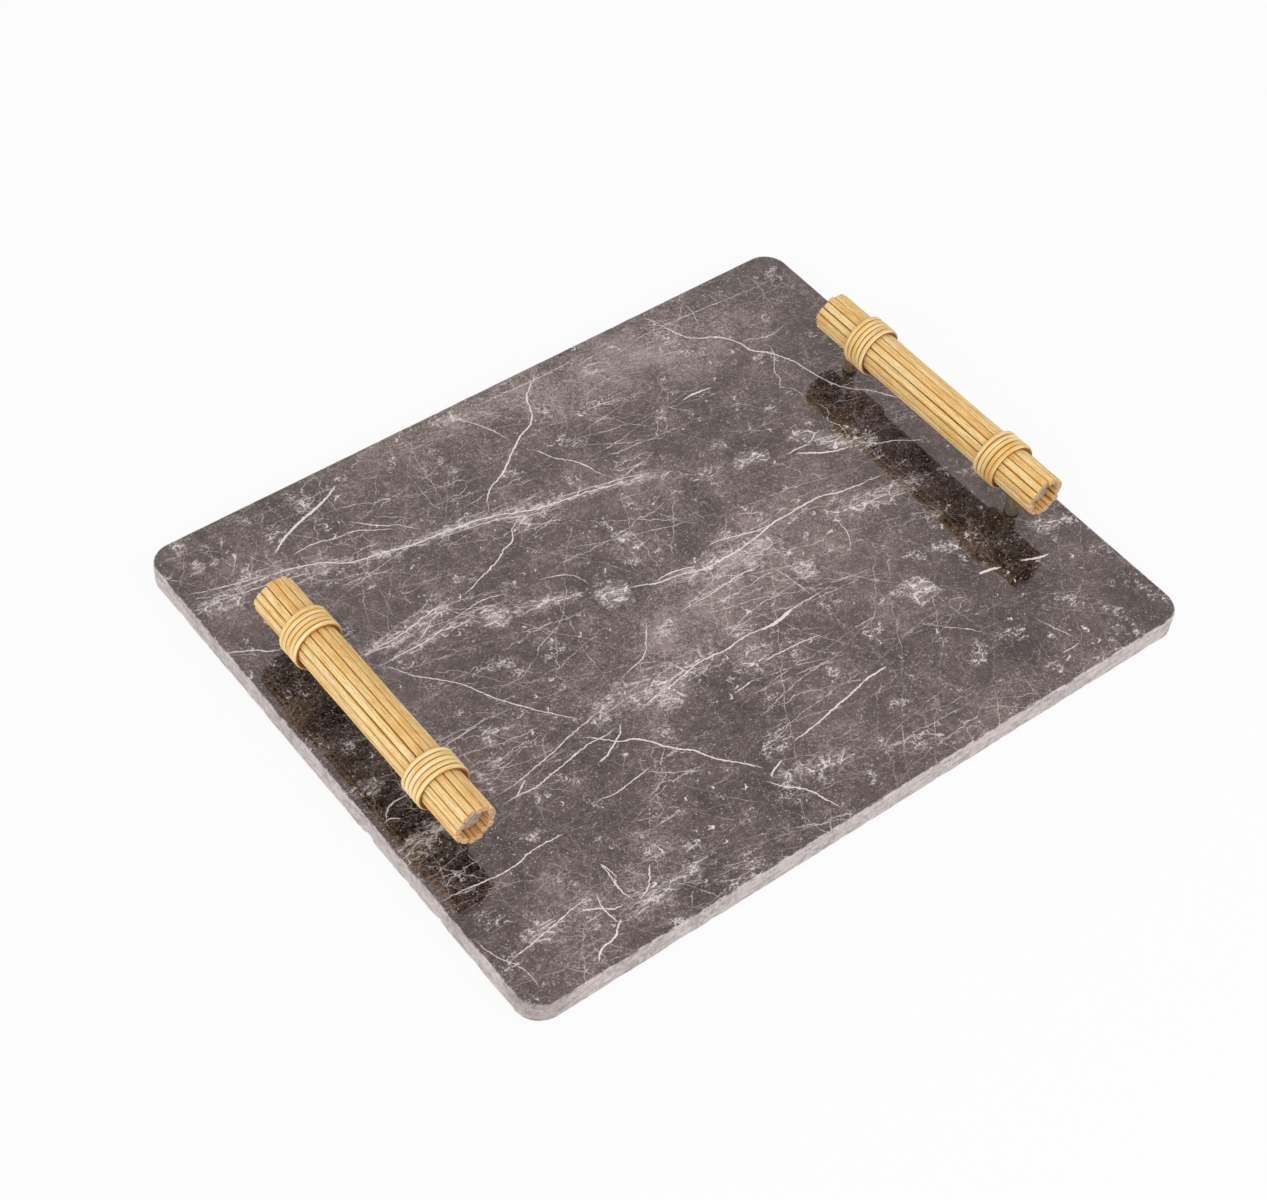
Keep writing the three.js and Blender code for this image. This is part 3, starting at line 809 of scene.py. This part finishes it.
def addSlab(finish):
    shape = slabShape
    loops = edgeLoops()
    handFinished(loops)
    shaped = bmesh.new()

    def rim(row):
        return [shaped.edges.get((row[i - 1], row[i])) for i in range(len(row))]

    def wall(loops):  # faces from loop to loop; gives the edges of the first and last loop
        rows = [[shaped.verts.new(point) for point in loop] for loop in loops]
        count = len(rows[0])
        for lower, upper in zip(rows, rows[1:]):
            for i in range(count):
                j = (i + 1) % count
                shaped.faces.new((lower[i], lower[j], upper[j], upper[i]))
        return rim(rows[0]), rim(rows[-1])

    bottomEdges, topEdges = wall(loops)
    step = slabLow.z + shape["counterboreDepth"]
    profile = [(shape["counterboreRadius"], slabLow.z), (shape["counterboreRadius"], step)]
    profile += [(shape["boreRadius"], step), (shape["boreRadius"], slabTop)]
    for side in sides:
        for end in ends:
            centre = seat(f"{side}_{end}_screw")[2]
            bottomRim, topRim = wall(turned(profile, shape["boreSides"], centre))
            bottomEdges += bottomRim
            topEdges += topRim
    bmesh.ops.triangle_fill(shaped, use_beauty=True, edges=bottomEdges, normal=(0, 0, -1))
    bmesh.ops.triangle_fill(shaped, use_beauty=True, edges=topEdges, normal=(0, 0, 1))
    shaped.verts.index_update()
    points = [vert.co.copy() for vert in shaped.verts]
    faces = [[vert.index for vert in face.verts] for face in shaped.faces]
    shaped.free()
    addPiece("marble_slab", points, faces, finish, "marble")


# Reeds

reedShape = {
    "width": 4.08 * mm,
    "depth": 3.82 * mm,
    "squareness": 4.0,
    "innerSquareness": 2.0,  # the half that lies on the core rod
    "stations": 70,
    "around": 32,
    "wander": 0.1 * mm,
    "swell": 0.02,
    "flutes": 4,
    "fluteDepth": 0.2 * mm,
    "fluteWidth": 0.13,  # radians
    "tip": [  # share of the section, drop in mm, share of cut face, raggedness
        (1.0, 0.35, 0, 0), (0.97, 0.105, 0.4, 0.3), (0.88, 0, 1, 1), (0.5, 0.1, 1, 0.6)],
    "endRagged": 0.3 * mm,
    "neckRadius": 2.55 * mm,
    "fibreStretch": 30,
    "sharpAngle": 50,
}
reedLook = {
    "pale": shade(255, 233, 178),
    "straw": shade(249, 206, 127),
    "amber": shade(224, 158, 60),
    # a dark brown for the fine streaks of the reeds, and also the painted shade in the seams between reeds
    "darkStreakAndSeamShade": shade(172, 98, 26),
    # painted shade on the underside of the reeds
    "under": shade(32, 24, 20),
    "cut": shade(240, 206, 174),
    "cutDark": shade(190, 140, 98),
    "broadScale": 0.5,
    "strandScale": 1.5,
    "fineScale": 4.0,
    "fuzzScale": 1.3,
    "stainScale": 0.09,
    "pithScale": 1.6,
    "rough": 0.46,
    "roughVaries": 0.25,
    "shine": 0.4,
    "relief": 0.7,
    "reliefDepth": 0.35 * mm,
}


def reedFinish():
    look = reedLook
    finish = newFinish("dryReed")
    fibre = finish.mark("fibre")
    tone, crest, cut = finish.parts(finish.mark("tone"), 3)
    spot = finish.place()
    broad = finish.noise(fibre, look["broadScale"], 3, 0.6)
    strands = finish.noise(fibre, look["strandScale"], 4, 0.7)
    fine = finish.noise(fibre, look["fineScale"], 3, 0.6)
    fuzz = finish.noise(spot, look["fuzzScale"], 3, 0.7)
    stain = finish.noise(spot, look["stainScale"], 4, 0.6)
    colour = finish.mix(finish.ramp(0.5 * broad + 0.5 * strands, 0.41, 0.59), look["straw"], look["pale"])
    colour = finish.mix(finish.ramp(tone + 0.8 * (stain - 0.5), 0.45, 1.0) * 0.35, colour, look["amber"])
    colour = finish.mix(finish.ramp(strands, 0.49, 0.35) * 0.9, colour, look["amber"])
    colour = finish.mix(finish.ramp(fine, 0.48, 0.34) * 0.6, colour, look["darkStreakAndSeamShade"])
    colour = finish.mix(finish.ramp(fuzz, 0.5, 0.66) * 0.35, colour, look["amber"])
    colour = finish.mix(finish.ramp(fuzz, 0.48, 0.34) * 0.35, colour, look["pale"])
    # Painted shade: the sides of each reed, where it meets its neighbours and the core, are darkened
    paintedSeamShade = finish.ramp(crest, 0.55, 0.1) * finish.ramp(broad, 0.38, 0.62, 0.1, 0.7)
    colour = finish.mix(paintedSeamShade, colour, look["darkStreakAndSeamShade"])
    # Painted shade: faces that look down are darkened, as if in the shadow under the handle
    colour = finish.mix(0.85 * finish.ramp(finish.upwards(), -0.1, -0.65), colour, look["under"])
    pith = finish.ramp(finish.noise(spot, look["pithScale"], 4, 0.7), 0.4, 0.62)
    colour = finish.mix(cut, colour, finish.mix(pith, look["cutDark"], look["cut"]))
    return finish.grained(look, colour, strands, 0.5 * strands + 0.3 * fine + 0.2 * fuzz)


def addReed(side, number, finish):
    shape = reedShape
    node = f"{side}_reed_{number:02d}"
    dice = random.Random(node)
    axis = bundleMiddle(side)
    low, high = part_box(node)
    middle = (low + high) / 2
    outward = Vector((middle.x - axis.x, 0, middle.z - axis.z)).normalized()
    aside = Vector((-outward.z, 0, outward.x))
    wanderAside = slowWave(dice, (1, 2, 3))
    wanderOut = slowWave(dice, (1, 2, 4))
    swelling = slowWave(dice, (1, 3, 5))
    flutes = [(dice.uniform(-0.75, 0.75), dice.uniform(0.1, 1)) for _ in range(shape["flutes"])]
    tone = dice.random()
    seed = randomSpot(dice)
    necks = [seat(f"{side}_{end}_post")[2] for end in ends]

    def flutedReach(angle):
        power = shape["squareness"] if math.cos(angle) > 0 else shape["innerSquareness"]
        reach = roundedReach(angle, shape["depth"], shape["width"], power)
        for place, depth in flutes:
            gap = (angle - place + math.pi) % (2 * math.pi) - math.pi
            reach -= depth * shape["fluteDepth"] * math.exp(-((gap / shape["fluteWidth"]) ** 2))
        return reach

    def clearNecks(point):  # the lowest reeds make room for the necks of the posts
        for neck in necks:
            off = Vector((point.x - neck.x, point.y - neck.y))
            if off.length < shape["neckRadius"] and point.z < axis.z:
                room = math.sqrt(shape["neckRadius"] ** 2 - off.y ** 2)
                point.x = neck.x + math.copysign(room, middle.x - neck.x)

    def section(y, share, cut, ragged):
        t = (y - low.y) / (high.y - low.y)
        grow = share * (1 + shape["swell"] * swelling(t))
        row = []
        for i in range(shape["around"]):
            angle = 2 * math.pi * i / shape["around"]
            reach = grow * flutedReach(angle)
            out = reach * math.cos(angle)
            across = reach * math.sin(angle)
            point = middle + outward * (out + shape["wander"] * wanderOut(t))
            point += aside * (across + shape["wander"] * wanderAside(t))
            point.y = y + ragged * noise.noise(Vector((math.cos(angle), math.sin(angle), t)) * 2 + seed)
            clearNecks(point)
            fibre = Vector((out, across, y / shape["fibreStretch"])) / mm + seed
            row.append((point, fibre, (tone, max(0, out / (shape["depth"] / 2)), cut)))
        return row

    def tip(y, inward):  # from the side of the reed over its rim into the cut face
        steps = []
        for share, drop, cut, ragged in shape["tip"]:
            steps.append((y + inward * drop * mm, share, cut, ragged * shape["endRagged"]))
        return steps

    def cap(row):
        centre = sum((point for point, fibre, mark in row), Vector()) / len(row)
        return [(centre, seed, (tone, 1, 1))]

    front = tip(low.y + shape["endRagged"] / 2, 1)
    back = tip(high.y - shape["endRagged"] / 2, -1)
    start = front[0][0]
    length = back[0][0] - start
    along = [(start + length * (i / shape["stations"]), 1.0, 0, 0) for i in range(shape["stations"] + 1)]
    rows = [section(*place) for place in front[:0:-1] + along + back[1:]]
    addStrand(node, [cap(rows[0]), *rows, cap(rows[-1])], finish, "reed", shape["sharpAngle"])


# Cane wraps

caneShape = {
    "turns": 5,
    "pitch": 3.2 * mm,
    "width": 2.95 * mm,
    "depth": 2.8 * mm,
    "squareness": 2.1,
    "stepsPerTurn": 80,
    "around": 16,
    "wander": 0.17 * mm,
    "calmEnd": 0.125,  # share of the length over which the wander fades out at each end
    "lift": 0.06 * mm,
    "swell": 0.03,
    "endRun": 2.6 * mm,
    "endEase": 0.25 * mm,
    "endShare": 0.8,
    "fibreStretch": 25,
    "sharpAngle": 60,
}
caneLook = {
    "pale": shade(255, 236, 188),
    "straw": shade(242, 198, 116),
    "amber": shade(214, 150, 54),
    # the painted shade between the strands of the cane
    "darkStreakAndSeamShade": shade(134, 74, 20),
    "broadScale": 0.6,
    "strandScale": 2.0,
    "stainScale": 0.12,
    "rough": 0.38,
    "roughVaries": 0.25,
    "shine": 0.45,
    "relief": 0.3,
    "reliefDepth": 0.2 * mm,
}


def caneFinish():
    look = caneLook
    finish = newFinish("splitCane")
    fibre = finish.mark("fibre")
    tone, crest = finish.parts(finish.mark("tone"), 2)
    broad = finish.noise(fibre, look["broadScale"], 3, 0.6)
    strands = finish.noise(fibre, look["strandScale"], 4, 0.7)
    stain = finish.noise(finish.place(), look["stainScale"], 4, 0.6)
    colour = finish.mix(finish.ramp(0.6 * broad + 0.4 * strands, 0.42, 0.62), look["straw"], look["pale"])
    colour = finish.mix(finish.ramp(stain + 0.4 * (tone - 0.5), 0.5, 0.9) * 0.5, colour, look["amber"])
    colour = finish.mix(finish.ramp(strands, 0.48, 0.34) * 0.8, colour, look["amber"])
    # Painted shade: the sides and underside of each strand, between the turns, are darkened
    colour = finish.mix(finish.ramp(crest, 0.55, 0.1) * 0.9, colour, look["darkStreakAndSeamShade"])
    return finish.grained(look, colour, strands, strands)


def addWrap(side, end, finish):
    shape = caneShape
    node = f"{side}_{end}_wrap"
    dice = random.Random(node)
    axis = bundleMiddle(side)
    low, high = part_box(node)
    turns = shape["turns"]
    radius = high.z - axis.z - shape["depth"] / 2 - 2 * shape["lift"]
    turnLength = 2 * math.pi * radius
    inwards = 1 if end == "front" else -1
    start = (low.y + high.y) / 2 - inwards * turns * shape["pitch"] / 2
    wander = slowWave(dice, (3, 5, 8))
    lift = slowWave(dice, (4, 7, 11))
    thickness = slowWave(dice, (3, 6, 9))
    tone = dice.random()
    seed = randomSpot(dice)

    def station(t, run):  # middle, outward side and way of the cane; run goes straight on past an end
        angle = 2 * math.pi * turns * t
        outward = Vector((math.sin(angle), 0, -math.cos(angle)))
        centre = Vector((axis.x, 0, axis.z)) + outward * (radius + shape["lift"] * lift(t))
        calm = min(1, t / shape["calmEnd"], (1 - t) / shape["calmEnd"])
        centre.y = start + inwards * shape["pitch"] * turns * t + calm * shape["wander"] * wander(t)
        way = Vector((math.cos(angle), inwards * shape["pitch"] / turnLength, math.sin(angle))).normalized()
        return centre + way * run, outward, way

    def section(t, run, share):
        centre, outward, way = station(t, run)
        across = way.cross(outward)
        swell = share * (1 + shape["swell"] * thickness(t))
        travelled = t * turns * turnLength / shape["fibreStretch"]
        row = []
        for i in range(shape["around"]):
            angle = 2 * math.pi * i / shape["around"]
            reach = swell * roundedReach(angle, shape["depth"], shape["width"], shape["squareness"])
            out = reach * math.cos(angle)
            beside = reach * math.sin(angle)
            point = centre + outward * min(out, shape["depth"] / 2) + across * beside
            fibre = Vector((out, beside, travelled)) / mm + seed
            row.append((point, fibre, (tone, math.cos(angle), 0)))
        return row

    def cap(t, run):
        return [(station(t, run)[0], seed, (tone, 0, 0))]

    steps = turns * shape["stepsPerTurn"]
    endRun = shape["endRun"]
    bodyRun = endRun - shape["endEase"]
    places = [(0, -endRun, shape["endShare"]), (0, -bodyRun, 1.0)]
    places += [(i / steps, 0, 1.0) for i in range(steps + 1)]
    places += [(1, bodyRun, 1.0), (1, endRun, shape["endShare"])]
    rows = [section(*place) for place in places]
    addStrand(node, [cap(0, -endRun), *rows, cap(1, endRun)], finish, "cane", shape["sharpAngle"])


# Core rods

coreShape = {
    "around": 64,
    "bevel": 0.6 * mm,
    "innerRing": 0.55,  # share of the radius
    "setBack": 1.2 * mm,  # how much deeper the rod lies than its solid
    "holeRadius": 2.55 * mm,
    "holeSides": 32,
    "drillStart": 1 * mm,  # how far below the rod a drill starts
}
coreLook = {
    "dark": shade(140, 134, 130),
    "pale": shade(240, 236, 232),
    "stain": shade(150, 132, 108),
    "sawStretch": (0.25, 1, 2.2),
    "sawScale": 1.2,
    "cloudScale": 0.35,
    "rough": 0.3,
    "roughVaries": 0.3,
    "metal": 0.35,
    "relief": 0.5,
    "reliefDepth": 0.2 * mm,
}


def coreFinish():
    look = coreLook
    finish = newFinish("sawnAluminium")
    spot = finish.place()
    sawMarks = finish.noise(finish.vector("MULTIPLY", spot, look["sawStretch"]), look["sawScale"], 4, 0.7)
    cloud = finish.noise(spot, look["cloudScale"], 3, 0.6)
    colour = finish.mix(finish.ramp(sawMarks, 0.3, 0.7), look["dark"], look["pale"])
    colour = finish.mix(finish.ramp(cloud, 0.5, 0.72) * 0.5, colour, look["stain"])
    return finish.grained(look, colour, cloud, sawMarks)


def drilled(piece, cutters):  # cuts holes, then drops the cutters
    for points, faces in cutters:
        mesh = closedMesh("drill", points, faces)
        drill = addObject("drill", mesh)
        cut = piece.modifiers.new("drill", "BOOLEAN")
        cut.operation = "DIFFERENCE"
        cut.solver = "EXACT"
        cut.object = drill
        bpy.context.view_layer.update()
        holed = bpy.data.meshes.new_from_object(piece.evaluated_get(bpy.context.evaluated_depsgraph_get()))
        piece.modifiers.clear()
        old = piece.data
        piece.data = holed
        holed.name = old.name
        bpy.data.meshes.remove(old)
        bpy.data.objects.remove(drill)
        bpy.data.meshes.remove(mesh)


def addCore(side, finish):
    shape = coreShape
    node = f"{side}_core_rod"
    low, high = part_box(node)
    axis = bundleMiddle(side)
    radius = (high.z - low.z) / 2
    front = low.y + shape["setBack"]
    profile = [(0, front), (shape["innerRing"] * radius, front), *eased(radius, front, shape["bevel"])]
    profile += [(reach, low.y + high.y - y) for reach, y in reversed(profile)]
    rings = []
    for reach, y in profile:
        ring = circle(reach, 0, shape["around"])
        rings.append([Vector((axis.x + point.x, y, axis.z + point.y)) for point in ring])
    piece = addPiece(node, *skin(rings), finish, "core_metal")
    cutters = []
    for end in ends:
        postLow, postHigh, centre = seat(f"{side}_{end}_post")
        start = low.z - shape["drillStart"]
        stop = postHigh.z + fit
        hole = [(0, start), (shape["holeRadius"], start), (shape["holeRadius"], stop), (0, stop)]
        cutters.append(skin(turned(hole, shape["holeSides"], centre)))
    drilled(piece, cutters)


# Posts

postShape = {
    "around": 56,
    "ease": 0.35 * mm,
    "neckRadius": 2.25 * mm,
    "boreRadius": 2.3 * mm,
    "crown": 4 * mm,  # metal between the screw bore and the saddle
}
postLook = {
    "dark": shade(158, 143, 118),
    "pale": shade(208, 190, 156),
    "line": shade(228, 208, 166),
    "lineStretch": (1, 1, 0.12),
    "lineScale": 3.0,
    "patinaScale": 0.5,
    "rough": 0.3,
    "roughVaries": 0.2,
    "metal": 0.8,
    "relief": 0.25,
    "reliefDepth": 0.1 * mm,
}


def postFinish():
    look = postLook
    finish = newFinish("antiqueBrass")
    spot = finish.place()
    lines = finish.noise(finish.vector("MULTIPLY", spot, look["lineStretch"]), look["lineScale"], 3, 0.6)
    patina = finish.noise(spot, look["patinaScale"], 4, 0.65)
    colour = finish.mix(finish.ramp(patina, 0.35, 0.68), look["dark"], look["pale"])
    colour = finish.mix(finish.ramp(lines, 0.5, 0.75) * 0.35, colour, look["line"])
    return finish.grained(look, colour, patina, lines)


def addPost(side, end, finish):
    shape = postShape
    node = f"{side}_{end}_post"
    low, high, centre = seat(node)
    axisZ = bundleMiddle(side).z
    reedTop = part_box(f"{side}_reed_{reedCount // 2:02d}")[1].z
    saddleRadius = reedTop - axisZ + fit
    saddleLow = axisZ - saddleRadius
    radius = (high.y - low.y) / 2
    ease = shape["ease"]
    neck = shape["neckRadius"]
    bore = shape["boreRadius"]
    boreTop = saddleLow - shape["crown"]

    def saddle(reach, drop):  # a ring in the hollow that takes the reeds
        ring = circle(reach, 0, shape["around"], centre)
        for point in ring:
            point.z = axisZ - math.sqrt(saddleRadius ** 2 - (point.x - centre.x) ** 2) - drop
        return ring

    foot = [(0, boreTop), (bore, boreTop), (bore, low.z), *eased(radius, low.z, ease)]
    rings = turned(foot, shape["around"], centre)
    rings += [saddle(reach, drop) for reach, drop in reversed(eased(radius, 0, ease))]
    rings += [saddle(neck + ease, 0)]
    top = [(neck, saddleLow + ease), (neck, high.z - ease), (neck - ease, high.z), (0, high.z)]
    rings += turned(top, shape["around"], centre)
    addPiece(node, *skin(rings), finish, "post_metal")


# Washers, screws and feet

smallShape = {
    "around": 48,
    "washerBore": 2.3 * mm,
    "washerEase": 0.2 * mm,
    "screwShank": 2 * mm,
    "screwHeadHeight": 4 * mm,
    "screwEase": 0.4 * mm,
    "socketWidth": 3 * mm,
    "socketDepth": 2 * mm,
    "socketEase": 0.2 * mm,
    "footEase": 0.5 * mm,
    "footRing": 0.4 * mm,  # depth of the ring pressed into a foot
    "footRingEdges": (0.5, 0.55, 0.65, 0.7),  # shares of the foot's radius
}
smallLooks = {
    "blackWasher": {
        "dark": shade(22, 21, 21), "pale": shade(52, 49, 47), "scale": 2.5, "low": 0.4, "high": 0.75,
        "rough": 0.5, "roughVaries": 0.3, "metal": 0.0, "relief": 0.3, "reliefDepth": 0.1 * mm},
    "zincSteel": {
        "dark": shade(150, 150, 148), "pale": shade(205, 207, 208), "scale": 1.4, "low": 0.35, "high": 0.7,
        "rough": 0.25, "roughVaries": 0.25, "metal": 1.0, "relief": 0.15, "reliefDepth": 0.1 * mm},
    "footRubber": {
        "dark": shade(30, 29, 28), "pale": shade(58, 56, 54), "scale": 3.5, "low": 0.35, "high": 0.7,
        "rough": 0.7, "roughVaries": 0.2, "metal": 0.0, "relief": 0.4, "reliefDepth": 0.15 * mm},
}


def speckledFinish(name):
    look = smallLooks[name]
    finish = newFinish(name)
    speckle = finish.noise(finish.place(), look["scale"], 4, 0.7)
    colour = finish.mix(finish.ramp(speckle, look["low"], look["high"]), look["dark"], look["pale"])
    return finish.grained(look, colour, speckle, speckle)


def addWasher(side, end, finish):
    node = f"{side}_{end}_washer"
    low, high, centre = seat(node)
    outer = (high.y - low.y) / 2
    ease = smallShape["washerEase"]
    bore = smallShape["washerBore"]
    profile = [(bore, low.z), (outer - ease, low.z), (outer, low.z + ease), (outer, high.z - ease)]
    profile += [(outer - ease, high.z), (bore, high.z)]
    points, faces = skin(turned(profile, smallShape["around"], centre), closed=True)
    addPiece(node, points, faces, finish, "washer_black")


def hexagon(width, height, count, centre):
    ring = []
    for i in range(count):
        angle = 2 * math.pi * i / count
        reach = width / 2 / math.cos(angle % (math.pi / 3) - math.pi / 6)
        ring.append(centre + Vector((reach * math.cos(angle), reach * math.sin(angle), height)))
    return ring


def addScrew(side, end, finish):
    shape = smallShape
    node = f"{side}_{end}_screw"
    low, high, centre = seat(node)
    head = (high.y - low.y) / 2
    ease = shape["screwEase"]
    shank = shape["screwShank"]
    count = shape["around"]
    floor = low.z + shape["socketDepth"]
    shoulder = low.z + shape["screwHeadHeight"]
    socket = shape["socketWidth"]
    lip = shape["socketEase"]
    rings = [circle(0, floor, count, centre)]
    for width, height in ((socket, floor), (socket, low.z + lip), (socket + 2 * lip, low.z)):
        rings.append(hexagon(width, height, count, centre))
    profile = [*eased(head, low.z, ease), (head, shoulder), (shank, shoulder)]
    profile += [(shank, high.z - ease), (shank - ease, high.z), (0, high.z)]
    rings += turned(profile, count, centre)
    addPiece(node, *skin(rings), finish, "screw_steel")


def addFoot(side, end, finish):
    shape = smallShape
    node = f"{side}_{end}_foot"
    low, high, centre = seat(node)
    radius = (high.y - low.y) / 2
    profile = [(0, low.z)]
    for share, depth in zip(shape["footRingEdges"], (0, shape["footRing"], shape["footRing"], 0)):
        profile.append((share * radius, low.z + depth))
    profile += [*eased(radius, low.z, shape["footEase"]), (radius, high.z), (0, high.z)]
    addPiece(node, *skin(turned(profile, shape["around"], centre)), finish, "foot_rubber")


# Studio

studio = {
    "fill": 0.6,  # light from all round
    "floorSize": 60,
    "floorTone": 0.82,
    "floorGlow": 0.92,  # share of plain white in the floor that the camera sees
    "lamps": {  # place, size and power
        "keyLamp": ((-3.3, -1.5, 1.8), 3, 70),
        "sideLamp": ((0.55, -1.3, 1.1), 1.2, 9),
    },
}
white = (1, 1, 1, 1)


def addLamp(name, place, size, power):
    lamp = bpy.data.lights.new(name, "AREA")
    lamp.shape = "SQUARE"
    lamp.size = size
    lamp.energy = power
    stand = addObject(name, lamp)
    stand.location = place
    stand.rotation_euler = Vector(place).to_track_quat("Z", "Y").to_euler()
    stand.visible_camera = False
    stand.visible_glossy = False  # the polished top mirrors plain white


def pathSeen(finish):  # 1 for rays from the camera, or mirrored or let through on their way to it
    names = ("Is Camera Ray", "Is Glossy Ray", "Is Transmission Ray")
    return strongest(*[finish.node("ShaderNodeLightPath", output=name) for name in names])


def floorFinish():
    finish = newFinish("studioFloor")
    tone = studio["floorTone"]
    plain = finish.node("ShaderNodeBsdfDiffuse", {}, {"Color": (tone, tone, tone, 1)})
    glow = finish.node("ShaderNodeEmission", {}, {"Color": white, "Strength": 1.0})
    share = studio["floorGlow"] * pathSeen(finish)
    shown = finish.node("ShaderNodeMixShader", {}, {0: share, 1: plain, 2: glow})
    finish.node("ShaderNodeOutputMaterial", {}, {"Surface": shown})
    return finish.owner


def addFloor():
    half = studio["floorSize"] / 2
    corners = [(-half, -half, 0), (half, -half, 0), (half, half, 0), (-half, half, 0)]
    mesh = bpy.data.meshes.new("studioFloor")
    mesh.from_pydata(corners, [], [(0, 1, 2, 3)])
    mesh.materials.append(floorFinish())
    addObject("studioFloor", mesh)


def addSky():
    world = bpy.data.worlds.new("whiteStudio")
    bpy.context.scene.world = world
    sky = Finish(world)
    strength = studio["fill"] + (1 - studio["fill"]) * pathSeen(sky)
    light = sky.node("ShaderNodeBackground", {}, {"Color": white, "Strength": strength})
    sky.node("ShaderNodeOutputWorld", {}, {"Surface": light})


addCamera()
print("camera set")
addFloor()
addSky()
for name, (place, size, power) in studio["lamps"].items():
    addLamp(name, place, size, power)
print("studio lit")
addSlab(marbleFinish())
print("slab made")
reed = reedFinish()
cane = caneFinish()
coreMetal = coreFinish()
for side in sides:
    addCore(side, coreMetal)
    for number in range(1, reedCount + 1):
        addReed(side, number, reed)
    for end in ends:
        addWrap(side, end, cane)
print("handles made")
post = postFinish()
washer = speckledFinish("blackWasher")
screw = speckledFinish("zincSteel")
foot = speckledFinish("footRubber")
for side in sides:
    for end in ends:
        addPost(side, end, post)
        addWasher(side, end, washer)
        addScrew(side, end, screw)
        addFoot(side, end, foot)
print("posts, screws and feet made")

bpy.context.scene.view_settings.view_transform = "Standard"
